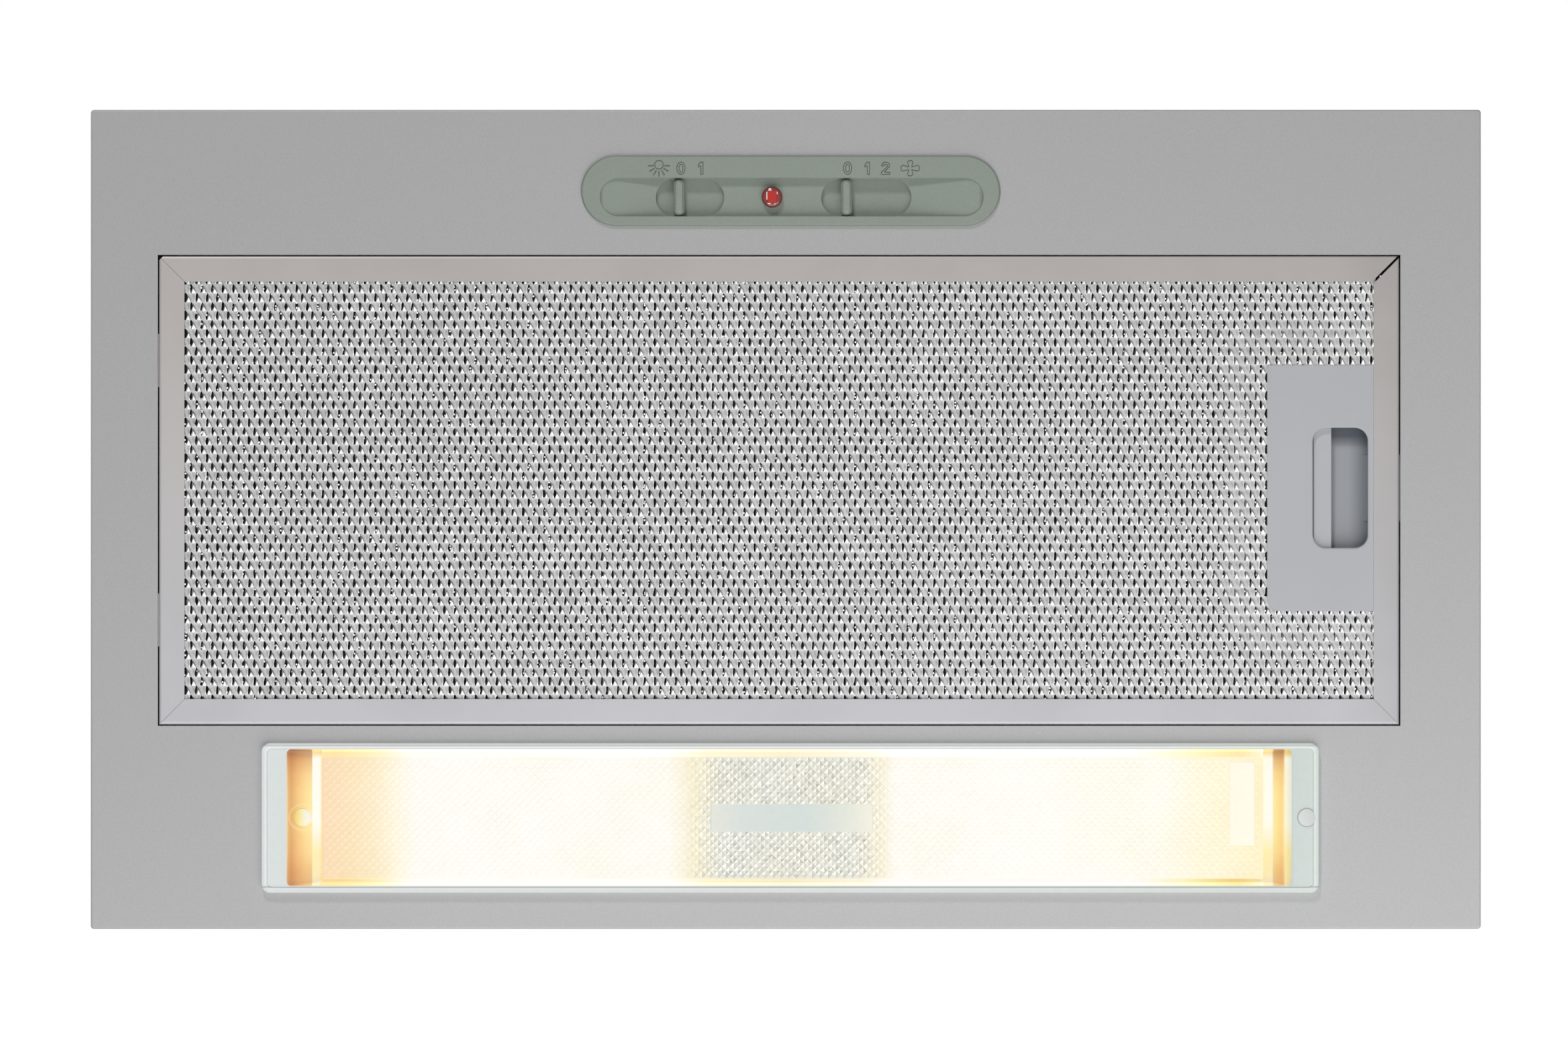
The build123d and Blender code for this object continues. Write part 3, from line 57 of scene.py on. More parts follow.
# Lengths on the hood are in millimetres until a mesh is made, and MM turns them into metres. The
# camera, the lights and the floor are placed in metres.
MM = 0.001

WHITE = (1.0, 1.0, 1.0, 1.0)

# Photograph
IMAGE_WIDTH = 2352
IMAGE_CENTRE = (1176.0, 784.0)
PIXELS_PER_MM = 3.972
CENTRE_PIXEL = (1178.75, 779.25)


def at_pixel(column, row):
    """The place on the hood, in millimetres, that the photograph shows at a pixel."""
    return ((column - CENTRE_PIXEL[0]) / PIXELS_PER_MM, (row - CENTRE_PIXEL[1]) / PIXELS_PER_MM)


def place_of(axis, pixel):
    """The place along X or Y, in metres, of a photograph column or row."""
    return at_pixel(pixel, pixel)["XY".index(axis)] * MM


def columns(first, last):
    """Limits along X from two photograph columns."""
    return (at_pixel(first, 0)[0], at_pixel(last, 0)[0])


def rows(first, last):
    """Limits along Y from two photograph rows."""
    return (at_pixel(0, first)[1], at_pixel(0, last)[1])


def node_box(node):
    """A node's limits along X, Y and Z, in millimetres."""
    low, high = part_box(node)
    return [(low[axis] / MM, high[axis] / MM) for axis in range(3)]


def screen(red, green, blue):
    """The linear colour that shows as these screen values, from 0 to 255."""
    levels = [value / 255 for value in (red, green, blue)]
    return tuple(((v + 0.055) / 1.055) ** 2.4 if v > 0.04 else v / 12.92 for v in levels) + (1.0,)


def scaled(colour, by):
    """A colour made lighter or darker."""
    return tuple(channel * by for channel in colour[:3]) + (1.0,)


class Finish:
    """A material whose nodes are added one by one around its main shader."""

    NOISE_ROUGHNESS = 0.55
    ROUNDING_SAMPLES = 6
    # The numbers of a mix node's sockets for colours
    MIX_FIRST, MIX_SECOND, MIX_RESULT = 6, 7, 2

    def __init__(self, name, roughness=0.5, metallic=0.0, **levels):
        self.material = bpy.data.materials.new(name)
        self.material.use_nodes = True
        self.tree = self.material.node_tree
        self.shader = self.tree.nodes["Principled BSDF"]
        self.coords = self.add("TexCoord").outputs["Object"]
        self.set(Roughness=roughness, Metallic=metallic, **levels)

    def feed(self, socket, value):
        """Links a socket to another, or sets its value."""
        if isinstance(value, bpy.types.NodeSocket):
            self.tree.links.new(value, socket)
        else:
            socket.default_value = value

    def add(self, kind, **values):
        """Adds a node. A name such as in0 means the first input; underscores stand for spaces."""
        node = self.tree.nodes.new("ShaderNode" + kind)
        for name, value in values.items():
            if name[:2] == "in" and name[2:].isdigit():
                self.feed(node.inputs[int(name[2:])], value)
            elif hasattr(node, name):
                setattr(node, name, value)
            else:
                self.feed(node.inputs[name.replace("_", " ")], value)
        return node

    def set(self, **values):
        """Sets or links the shader's own sockets."""
        for name, value in values.items():
            self.feed(self.shader.inputs[name.replace("_", " ")], value)

    def math(self, operation, first, second=0.0, clamp=False):
        """One arithmetic step."""
        return self.add("Math", operation=operation, use_clamp=clamp, in0=first, in1=second).outputs[0]

    def stretched(self, scale):
        """Object coordinates stretched along the axes."""
        return self.add("Mapping", Vector=self.coords, Scale=scale).outputs[0]

    def cloud(self, scale, detail, coords=None):
        """Noise from 0 to 1."""
        return self.add("TexNoise", Vector=coords or self.coords, Scale=scale, Detail=detail,
                        Roughness=self.NOISE_ROUGHNESS).outputs["Fac"]

    def span(self, value, low, high, to_low=0.0, to_high=1.0):
        """A value taken from one range to another and held there."""
        return self.add("MapRange", Value=value, From_Min=low, From_Max=high, To_Min=to_low,
                        To_Max=to_high).outputs[0]

    def mix(self, share, first, second, blend="MIX"):
        """Two colours mixed."""
        node = self.add("Mix", data_type="RGBA", blend_type=blend)
        self.feed(node.inputs["Factor"], share)
        self.feed(node.inputs[self.MIX_FIRST], first)
        self.feed(node.inputs[self.MIX_SECOND], second)
        return node.outputs[self.MIX_RESULT]

    def tinted(self, colour, by):
        """One colour multiplied by another."""
        return self.mix(1.0, colour, by, "MULTIPLY")

    def grey(self, level):
        """A grey of this level."""
        return self.add("CombineColor", in0=level, in1=level, in2=level).outputs[0]

    def red_of(self, colour):
        """A colour's red, as a number."""
        return self.add("SeparateColor", Color=colour).outputs[0]

    def tone(self):
        """The painted light and shade that each corner of a face carries."""
        return self.add("Attribute", attribute_name="tone").outputs["Fac"]

    def ramp(self, value, stops):
        """A colour ramp through (place, colour) pairs."""
        node = self.add("ValToRGB", Fac=value)
        points = node.color_ramp.elements
        while len(points) < len(stops):
            points.new(0.5)
        for point, (place, colour) in zip(points, stops):
            point.position = place
            point.color = colour
        return node.outputs[0]

    def axis(self, name):
        """The object coordinate along one axis, in metres."""
        return self.add("SeparateXYZ", Vector=self.coords).outputs[name]

    def relief(self, height, depth, strength, rounding=0.0):
        """Bumps the surface by a height from 0 to 1, over edges rounded by a small radius."""
        values = {"Height": height, "Strength": strength, "Distance": depth * MM}
        if rounding:
            values["Normal"] = self.add("Bevel", samples=self.ROUNDING_SAMPLES,
                                        Radius=rounding * MM).outputs[0]
        self.set(Normal=self.add("Bump", **values).outputs[0])


def along(finish, axis, stops):
    """A ramp along X or Y, from pairs of photograph column or row and colour."""
    first, last = stops[0][0], stops[-1][0]
    place = finish.span(finish.axis(axis), place_of(axis, first), place_of(axis, last))
    return finish.ramp(place, [((pixel - first) / (last - first), colour) for pixel, colour in stops])


def within(finish, axis, first, last, soft=1.5):
    """1 between two photograph columns or rows and 0 outside them, with soft edges."""
    rise_start, rise_end = place_of(axis, first - soft / 2), place_of(axis, first + soft / 2)
    fall_start, fall_end = place_of(axis, last - soft / 2), place_of(axis, last + soft / 2)
    rise = finish.span(finish.axis(axis), rise_start, rise_end)
    fall = finish.span(finish.axis(axis), fall_start, fall_end, 1.0, 0.0)
    return finish.math("MINIMUM", rise, fall)


def left_or_right(finish, left, right):
    """One colour on the left half and another on the right."""
    return finish.mix(finish.math("GREATER_THAN", finish.axis("X"), 0.0), left, right)


def painted(name, colour):
    """Fine-speckled paint on pressed steel."""
    paint = Finish(name, metallic=0.15, Specular_IOR_Level=0.4)
    speck = paint.span(paint.cloud(2100, 2), 0.35, 0.68)
    patch = paint.cloud(14, 4)
    fine = paint.mix(speck, scaled(colour, 0.93), scaled(colour, 1.06))
    paint.set(Base_Color=paint.mix(paint.span(patch, 0.3, 0.7, 0.0, 0.35), fine, scaled(colour, 0.955)))
    paint.set(Roughness=paint.span(patch, 0.2, 0.8, 0.37, 0.49))
    paint.relief(paint.cloud(1500, 2), depth=0.02, strength=0.35, rounding=0.25)
    return paint.material


def galvanised(name, colour):
    """Zinc-coated sheet with a dull spangle."""
    zinc = Finish(name, metallic=0.45)
    wander = zinc.add("TexNoise", Vector=zinc.coords, Scale=60.0).outputs["Color"]
    crystal = zinc.add("TexVoronoi", Vector=zinc.mix(0.006, zinc.coords, wander), Scale=240.0)
    grain = zinc.red_of(crystal.outputs["Color"])
    feather = zinc.cloud(60, 5, zinc.stretched((1, 9, 1)))
    both = zinc.math("ADD", zinc.math("MULTIPLY", grain, 0.7), zinc.math("MULTIPLY", feather, 0.5))
    spangle = zinc.mix(zinc.span(both, 0.1, 1.1), scaled(colour, 0.88), scaled(colour, 1.08))
    dull = zinc.span(zinc.cloud(9, 4), 0.35, 0.7, 0.0, 0.4)
    zinc.set(Base_Color=zinc.mix(dull, spangle, scaled(colour, 0.86)))
    zinc.set(Roughness=zinc.span(grain, 0.0, 1.0, 0.5, 0.64))
    zinc.relief(feather, depth=0.03, strength=0.3, rounding=0.3)
    return zinc.material


def metal(name, colour, roughness, stretch=(1, 30, 1), metallic=1.0, contrast=0.12, painted_light_of=None):
    """Rolled or ground metal with fine lines along one way. painted_light_of(finish) may paint light and
    shade on it by place.
    """
    work = Finish(name, metallic=metallic)
    lines = work.cloud(300, 6, work.stretched(stretch))
    patch = work.cloud(22, 4)
    shade = work.mix(lines, scaled(colour, 1 - contrast), scaled(colour, 1 + contrast))
    body = work.mix(work.span(patch, 0.45, 0.75, 0.0, 0.5), shade, scaled(colour, 0.86))
    work.set(Base_Color=work.tinted(body, painted_light_of(work)) if painted_light_of else body)
    work.set(Roughness=work.span(lines, 0.25, 0.75, roughness - 0.06, roughness + 0.1))
    work.relief(lines, depth=0.02, strength=0.25, rounding=0.15)
    return work.material


def moulded(name, colour, roughness, grain, depth, contrast, painted_shade_of=None, **levels):
    """Moulded plastic with a fine grain. painted_shade_of(finish) may darken it with painted shade by place,
    down to 0.
    """
    plastic = Finish(name, **levels)
    fine = plastic.cloud(grain, 3)
    patch = plastic.cloud(25, 4)
    shade = plastic.mix(fine, scaled(colour, 1 - contrast), scaled(colour, 1 + contrast))
    base = plastic.mix(plastic.span(patch, 0.4, 0.8, 0.0, 0.4), shade, scaled(colour, 0.9))
    # The dark, bluish colour of the painted shade
    shadow = (colour[0] * 0.09, colour[1] * 0.12, colour[2] * 0.15, 1.0)
    plastic.set(Base_Color=plastic.mix(painted_shade_of(plastic), shadow, base) if painted_shade_of else base)
    plastic.set(Roughness=plastic.span(patch, 0.2, 0.8, roughness - 0.06, roughness + 0.08))
    plastic.relief(fine, depth=depth, strength=0.4, rounding=0.25)
    return plastic.material


def laminated(name, colour):
    """A stack of thin steel sheets seen on edge."""
    stack = Finish(name, metallic=0.7)
    bands = stack.add("TexWave", Vector=stack.coords, Scale=320.0, Distortion=0.4).outputs["Fac"]
    rust = stack.span(stack.cloud(90, 5), 0.5, 0.75)
    shade = stack.mix(bands, scaled(colour, 0.6), scaled(colour, 1.2))
    stack.set(Base_Color=stack.mix(rust, shade, screen(96, 74, 58)), Roughness=0.5)
    stack.relief(bands, depth=0.1, strength=0.5)
    return stack.material


def lit_glass(name, colour, strength):
    """Frosted glass with the light on behind it, which glows; where the part is no lamp, the glow is painted
    light.
    """
    glass = Finish(name, roughness=0.35)
    shade = glass.mix(glass.cloud(40, 3), colour, scaled(colour, 0.94))
    glass.set(Base_Color=shade, Emission_Color=shade, Emission_Strength=strength)
    glass.relief(glass.cloud(600, 2), depth=0.02, strength=0.2)
    return glass.material


def painted_shadow_layers(name):
    """The stacked inner meshes as they show through the slits: near-black painted shadow with a few bright
    flecks that glow as painted glints.
    """
    deep = Finish(name, roughness=0.6, Specular_IOR_Level=0.15)
    cell = deep.add("TexVoronoi", voronoi_dimensions="2D", Vector=deep.coords, Scale=640.0)
    near = deep.math("LESS_THAN", cell.outputs["Distance"], 0.2)
    chosen = deep.math("GREATER_THAN", deep.red_of(cell.outputs["Color"]), 0.6)
    painted_fleck = deep.math("MULTIPLY", near, chosen)
    shade = deep.mix(deep.span(deep.cloud(260, 4), 0.3, 0.7), screen(2, 2, 2), screen(36, 36, 37))
    deep.set(Base_Color=deep.mix(painted_fleck, shade, screen(250, 250, 252)))
    deep.set(Emission_Color=WHITE, Emission_Strength=deep.math("MULTIPLY", painted_fleck, 0.8))
    deep.relief(deep.cloud(500, 3), depth=0.2, strength=0.5)
    return deep.material


# The latch's finger pocket: its heights, and the rows and columns between which its painted shade changes
POCKET_LIP_Z = -6.2
POCKET_STEP_Z = -5.5
POCKET_FLOOR_Z = -4.0
POCKET_ROWS = (654, 670)
POCKET_COLUMNS = (2024, 2046)
# Heights between which the painted shade of the engraved marks sets in, and between which it fades
GROOVE_NEAR_Z = (-9.27, -9.12)
GROOVE_FAR_Z = (-9.02, -8.9)


def painted_pocket_shade(finish):
    """Painted shade: darker towards the floor, the front and the bolt's end of the finger pocket."""
    depth = finish.span(finish.axis("Z"), POCKET_LIP_Z * MM, POCKET_FLOOR_Z * MM, 1.0, 0.66)
    front = finish.span(finish.axis("Y"), *(place_of("Y", row) for row in POCKET_ROWS), 0.2, 1.0)
    lip = finish.span(finish.axis("Z"), POCKET_LIP_Z * MM, POCKET_STEP_Z * MM, 1.0, 0.0)
    deep_front = finish.math("MAXIMUM", front, lip)
    end = finish.span(finish.axis("X"), *(place_of("X", column) for column in POCKET_COLUMNS), 1.0, 0.5)
    return finish.math("MULTIPLY", finish.math("MULTIPLY", depth, deep_front), end)


def painted_groove_shade(finish):
    """Painted shade: darker in the engraved marks and along the rims, just behind the panel's face."""
    near = finish.span(finish.axis("Z"), GROOVE_NEAR_Z[0] * MM, GROOVE_NEAR_Z[1] * MM, 1.0, 0.6)
    far = finish.span(finish.axis("Z"), GROOVE_FAR_Z[0] * MM, GROOVE_FAR_Z[1] * MM, 0.6, 1.0)
    return finish.math("MAXIMUM", near, far)


def rail_painted_light(finish):
    """Painted light and shade: warmer and darker at the front and the right, cooler and paler at the back
    and the left.
    """
    depth = along(finish, "Y", [
        (389, (0.92, 0.875, 0.85, 1)), (480, (0.94, 0.9, 0.88, 1)), (760, (0.98, 0.975, 0.985, 1)),
        (1000, (0.97, 0.985, 1.03, 1)), (1090, (0.99, 0.995, 1.05, 1)),
    ])
    width = along(finish, "X", [
        (238, WHITE), (1200, scaled(WHITE, 0.94)), (2000, scaled(WHITE, 0.91)), (2098, scaled(WHITE, 0.82)),
    ])
    return finish.tinted(depth, width)


LATCH_GREY = screen(200, 202, 207)
LATCH_GRAIN = {"roughness": 0.5, "grain": 1100, "depth": 0.03, "contrast": 0.03}
finishes = {
    "painted_steel": painted("grey_paint", screen(196, 196, 197)),
    "galvanised_steel": galvanised("galvanised_sheet", screen(190, 193, 196)),
    "spring_steel": metal("spring_steel", screen(165, 166, 170), 0.28),
    "zinc_screws": metal("zinc_plate", screen(205, 204, 196), 0.25, (6, 6, 6)),
    # The filter's rails carry painted light and shade along them
    "filter_aluminium": metal("rolled_aluminium", screen(214, 212, 211), 0.42, (25, 25, 1), metallic=0.3,
                              contrast=0.06, painted_light_of=rail_painted_light),
    # The inner meshes are painted shadow with glowing flecks of painted glint
    "mesh_aluminium": painted_shadow_layers("inner_layers_painted_shadow"),
    # The panel's engraved marks and rims carry painted shade
    "panel_plastic": moulded("green_grey_plastic", screen(159, 169, 158), 0.42, grain=1100, depth=0.06,
                             contrast=0.12, painted_shade_of=painted_groove_shade),
    "latch_plastic": moulded("latch_plastic", LATCH_GREY, **LATCH_GRAIN),
    "red_lens": moulded("red_lens", screen(176, 32, 30), 0.12, grain=500, depth=0.0, contrast=0.05,
                        Coat_Weight=0.6),
    "neon_glass": lit_glass("neon_glass", screen(255, 150, 90), 0.6),
    # The clear cover glows with painted light
    "clear_cover": lit_glass("clear_cover", screen(214, 226, 224), 0.15),
    "reflector": metal("reflector_sheet", screen(214, 211, 200), 0.25),
    "lamp_porcelain": moulded("porcelain", screen(232, 230, 222), 0.15, grain=200, depth=0.01,
                              contrast=0.02, Coat_Weight=0.4),
    "bulb_glass": lit_glass("lit_bulb", screen(255, 226, 170), 2.4),
    "bulb_cap": metal("rolled_brass", screen(212, 190, 120), 0.3, (40, 1, 1)),
    "black_plastic": moulded("black_plastic", screen(34, 34, 36), 0.4, grain=700, depth=0.04, contrast=0.1),
    "white_plastic": moulded("pale_plastic", screen(222, 221, 214), 0.4, grain=800, depth=0.02,
                             contrast=0.03),
    "motor_steel": metal("dark_motor_steel", screen(74, 77, 80), 0.38, (1, 6, 6), metallic=0.8),
    "laminated_steel": laminated("laminated_core", screen(120, 116, 112)),
    "bright_steel": metal("ground_steel", screen(205, 206, 208), 0.18, (60, 1, 1)),
    "capacitor_shell": moulded("capacitor_shell", screen(208, 207, 200), 0.25, grain=300, depth=0.01,
                               contrast=0.02),
    "grommet_rubber": moulded("rubber", screen(28, 28, 28), 0.65, grain=600, depth=0.05, contrast=0.12),
}
for row in frame["record"]["subparts"]:
    skin = frame["nodes"][row["node"]].data.materials
    skin.clear()
    skin.append(finishes[row["material_slot"]])
# The latch slider carries painted shade deep in its finger pocket
slider_skin = frame["nodes"]["latch_slider"].data.materials
slider_skin[0] = moulded("latch_slider_plastic", LATCH_GREY, painted_shade_of=painted_pocket_shade, **LATCH_GRAIN)


class Shell:
    """Faces gathered for one piece, in millimetres, each with its material's number and its painted light
    and shade.
    """

    def __init__(self):
        self.points, self.faces, self.chosen, self.painted_lights = [], [], [], []

    def face(self, corners, chosen=0, painted_lights=1.0):
        """Adds a face. One value of painted light and shade serves all its corners, or each corner has its
        own.
        """
        self.faces.append(list(corners))
        self.chosen.append(chosen)
        self.painted_lights.append(painted_lights if isinstance(painted_lights, list) else [painted_lights] * len(self.faces[-1]))

    def bridge(self, loops, chosen, painted_lights=None):
        """Joins loops of equal length one after another, and closes the last. A material's number
        is chosen for all or for each."""
        base, count = len(self.points), len(loops[0])
        self.points += [point for loop in loops for point in loop]
        painted_lights = painted_lights or [1.0] * len(loops)
        chosen = [chosen] * len(loops) if isinstance(chosen, int) else chosen
        for ring in range(len(loops) - 1):
            near, far = base + ring * count, base + (ring + 1) * count
            for step in range(count):
                after = (step + 1) % count
                self.face((near + step, near + after, far + after, far + step), chosen[ring], painted_lights[ring])
        last = base + (len(loops) - 1) * count
        self.face(range(last, last + count), chosen[-1], painted_lights[-1])

    def dome(self, x, y, z, radius, profile):
        """A round dome from z[1] down to z[0], with rings at (share of its radius, height over z[0],
        material's number)."""
        rings = [circle(x, y, radius * share, z[0] + height) for share, height, _ in profile]
        self.bridge([circle(x, y, radius, z[1])] + rings, [0] + [chosen for *_, chosen in profile])

    def make(self, name, materials, body, slot, smooth=False, turned=False):
        """Makes the piece, which rides on a body. Its faces are turned over if asked."""
        step = -1 if turned else 1
        mesh = bpy.data.meshes.new(name)
        mesh.from_pydata([tuple(MM * value for value in point) for point in self.points], [],
                         [face[::step] for face in self.faces])
        for material in materials:
            mesh.materials.append(material)
        mesh.polygons.foreach_set("material_index", self.chosen)
        mesh.polygons.foreach_set("use_smooth", [smooth] * len(self.faces))
        painted_lights = [tone for face in self.painted_lights for tone in face[::step]]
        mesh.attributes.new("tone", "FLOAT", "CORNER").data.foreach_set("value", painted_lights)
        piece = bpy.data.objects.new(name, mesh)
        bpy.context.scene.collection.objects.link(piece)
        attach(piece, body)
        return piece


# Expanded mesh: places of the points round one slit, in millimetres from its middle, with how far
# each stands out of the sheet
MESH_PITCH = 3.98
MESH_ROW = 3.37
FIRST_SLIT = at_pixel(610.7, 607.6)
SLIT_POINTS = {
    "tip": (0.05, -1.92, 0.05), "foot": (-0.1, 1.66, 0.1),
    "right_high": (0.4, -1.25, -0.15), "right_mid": (0.39, 0.0, -0.4), "right_low": (0.12, 1.15, -0.25),
    "left_high": (-0.32, -1.35, 0.3), "left_mid": (-0.45, 0.1, 0.42), "left_low": (-0.44, 1.2, 0.3),
    "rim_high": (-0.56, -1.25, 0.25), "rim_mid": (-0.68, 0.0, 0.32), "rim_low": (-0.78, 1.25, 0.25),
    "bend_high": (1.0, -0.65, 0.15), "bend_low": (1.9, 0.45, 0.1), "crease": (0.88, -0.12, -0.3),
    "mid": (2.2, -0.6, 0.12), "hollow": (2.75, -0.35, 0.02), "fold": (2.7, -1.25, 0.05),
    "base_left": (0.36, 1.58, -0.05), "base_right": (1.55, 1.48, 0.0),
}
# The faces of one cell. A corner is (columns across, rows down, name, painted light and shade); the rows
# between are half a pitch aside.
CELL_FACES = (
    ((0, 0, "tip", 0.87), (0.5, -1, "foot", 0.88), (0, 0, "mid", 0.79), (0, 0, "bend_high", 0.7),
     (0, 0, "right_high", 0.72)),
    ((0.5, -1, "foot", 0.88), (1, 0, "tip", 0.92), (0, 0, "fold", 0.7)),
    ((0.5, -1, "foot", 0.88), (0, 0, "fold", 0.7), (0, 0, "hollow", 0.68), (0, 0, "mid", 0.79)),
    ((1, 0, "tip", 0.92), (1, 0, "rim_high", 0.86), (0, 0, "hollow", 0.68), (0, 0, "fold", 0.7)),
    ((0, 0, "mid", 0.79), (0, 0, "hollow", 0.7), (1, 0, "rim_low", 0.8), (1, 0, "foot", 0.82),
     (0.5, 1, "tip", 0.82), (0, 0, "bend_low", 0.79), (0, 0, "bend_high", 0.68)),
    ((0, 0, "hollow", 0.68), (1, 0, "rim_high", 0.8), (1, 0, "rim_mid", 0.74), (1, 0, "rim_low", 0.8)),
    ((1, 0, "tip", 0.94), (1, 0, "left_high", 0.92), (1, 0, "left_mid", 0.88), (1, 0, "rim_mid", 0.82),
     (1, 0, "rim_high", 0.86)),
    ((1, 0, "left_mid", 0.88), (1, 0, "left_low", 0.99), (1, 0, "foot", 0.92), (1, 0, "rim_low", 0.9),
     (1, 0, "rim_mid", 0.82)),
    ((0, 0, "right_high", 0.46), (0, 0, "bend_high", 0.52), (0, 0, "bend_low", 0.6), (0.5, 1, "tip", 0.76),
     (0, 0, "base_right", 0.74), (0, 0, "crease", 0.5), (0, 0, "right_mid", 0.4)),
    ((0, 0, "crease", 1.0), (0, 0, "base_right", 1.0), (0, 0, "base_left", 1.0)),
    ((0, 0, "right_mid", 0.34), (0, 0, "crease", 0.74), (0, 0, "base_left", 0.84), (0, 0, "foot", 0.76),
     (0, 0, "right_low", 0.4)),
    ((0, 0, "foot", 0.82), (0, 0, "base_left", 0.8), (0, 0, "base_right", 0.88), (0.5, 1, "tip", 0.94)),
)
# The slits are pressed together in a band round the latch housing: its distance from the housing,
# its width and how much it narrows them
CRUSH_DISTANCE = 11.0
CRUSH_WIDTH = 8.0
CRUSH_SHARE = 0.7
# How far the points stray from their places: a slow wave over the sheet and a knock to each point,
# larger on the free strands than where strands meet
WAVE_LENGTH = 7.0
WAVE_SIZE = 0.12
KNOCK_FREE = 0.42
KNOCK_MET = 0.2
KNOCK_SCALE = (2.3, 1.9)
STRAY_DOWN = 0.6
STRAY_OUT = 0.4
# Room between the slits and the sheet's edges, across and down, and the cells' change of brightness
SLIT_ROOM = (0.6, 1.9)
CELL_CONTRAST = 0.07


def expanded_aluminium():
    """Bright expanded aluminium, whose facets carry painted highlights and painted shade, the brightest of
    them glowing as painted glints.
    """
    finish = Finish("expanded_aluminium", roughness=0.42, metallic=0.1)
    tone = finish.tone()
    patch = finish.span(finish.cloud(45, 3), 0.3, 0.7, 0.98, 1.02)
    linear = finish.math("POWER", finish.math("MULTIPLY", tone, patch), 2.2)
    level = finish.math("MULTIPLY", linear, 1.17, clamp=True)
    grain = finish.span(finish.cloud(1800, 2), 0.3, 0.7, 0.95, 1.05)
    finish.set(Base_Color=finish.grey(finish.math("MULTIPLY", level, grain, clamp=True)))
    # The brightest facets glow as painted glints
    finish.set(Emission_Color=WHITE, Emission_Strength=finish.span(tone, 0.88, 0.99, 0.0, 0.5))
    return finish.material


def make_filter_mesh(name, node, finish, outward, overlap):
    """A sheet of expanded mesh in a node's place. It faces down where outward is -1 and up where it
    is 1, and goes under the latch housing by the overlap."""
    x, y, z = node_box(node)
    middle = (z[0] + z[1]) / 2
    notch_x, notch_y, _ = node_box("latch_housing")
    shell, places = Shell(), {}

    def centre(row, column):
        return FIRST_SLIT[0] + column * MESH_PITCH / 2, FIRST_SLIT[1] + row * MESH_ROW

    def point(row, column, tag):
        key = (row, column, tag)
        if key not in places:
            across, down, out = SLIT_POINTS[tag]
            centre_x, centre_y = centre(row, column)
            gap = math.hypot(max(notch_x[0] - centre_x, 0),
                             max(notch_y[0] - centre_y, 0, centre_y - notch_y[1]))
            crushed = 1 - CRUSH_SHARE * max(0.0, 1 - abs(gap - CRUSH_DISTANCE) / CRUSH_WIDTH)
            if tag.startswith(("left", "rim", "right")):
                across *= crushed
            wave_place = Vector((centre_x / WAVE_LENGTH, centre_y / WAVE_LENGTH, 0.0))
            knock_place = Vector((centre_x * KNOCK_SCALE[0], centre_y * KNOCK_SCALE[1],
                                  across * 5 + down * 3))
            loose = KNOCK_FREE if tag.startswith(("left", "right", "crease", "base")) else KNOCK_MET
            shift = noise.noise_vector(wave_place) * WAVE_SIZE + noise.noise_vector(knock_place) * loose
            places[key] = len(shell.points)
            shell.points.append((centre_x + across + shift.x, centre_y + down + STRAY_DOWN * shift.y,
                                 middle + outward * (out * crushed + STRAY_OUT * shift.z)))
        return places[key]

    def kept(row, column):
        centre_x, centre_y = centre(row, column)
        room_x, room_y = SLIT_ROOM
        inside = (x[0] + room_x < centre_x < x[1] - MESH_PITCH
                  and y[0] + room_y < centre_y < y[1] - room_y)
        housed = (centre_x + MESH_PITCH > notch_x[0] + overlap
                  and notch_y[0] + overlap - room_y < centre_y < notch_y[1] - overlap + room_y)
        return inside and not housed

    first_row, last_row = (int((end - FIRST_SLIT[1]) / MESH_ROW) for end in y)
    first_column, last_column = (int(2 * (end - FIRST_SLIT[0]) / MESH_PITCH) for end in x)
    for row in range(first_row - 1, last_row + 2):
        for column in range(first_column - 1, last_column + 2):
            if (row + column) % 2 or not kept(row, column):
                continue
            cell = 1 + CELL_CONTRAST * noise.noise(Vector((row * 3.7, column * 2.9, 4.0)))
            for face in CELL_FACES:
                shell.face([point(row + down, column + int(2 * across), tag)
                            for across, down, tag, _ in face], painted_lights=[tone * cell for *_, tone in face])
    mesh = shell.make(name, [finish], "filter", "mesh_aluminium", turned=outward < 0)
    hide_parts(node)


def rounded_loop(x, y, radius, z, steps=7):
    """Points round a rectangle with rounded corners, the same number for every size."""
    corners = ((x[1], y[1], 0), (x[0], y[1], 90), (x[0], y[0], 180), (x[1], y[0], 270))
    loop = []
    for corner_x, corner_y, start in corners:
        middle_x = corner_x - math.copysign(radius, corner_x - (x[0] + x[1]) / 2)
        middle_y = corner_y - math.copysign(radius, corner_y - (y[0] + y[1]) / 2)
        for step in range(steps):
            turn = math.radians(start + 90 * step / (steps - 1))
            loop.append((middle_x + radius * math.cos(turn), middle_y + radius * math.sin(turn), z))
    return loop


def circle(x, y, radius, z, sides=28):
    """Points round a circle."""
    turns = (2 * math.pi * side / sides for side in range(sides))
    return [(x + radius * math.cos(turn), y + radius * math.sin(turn), z) for turn in turns]


def inset(span, by):
    """A pair of limits moved together at both ends."""
    return (span[0] + by, span[1] - by)


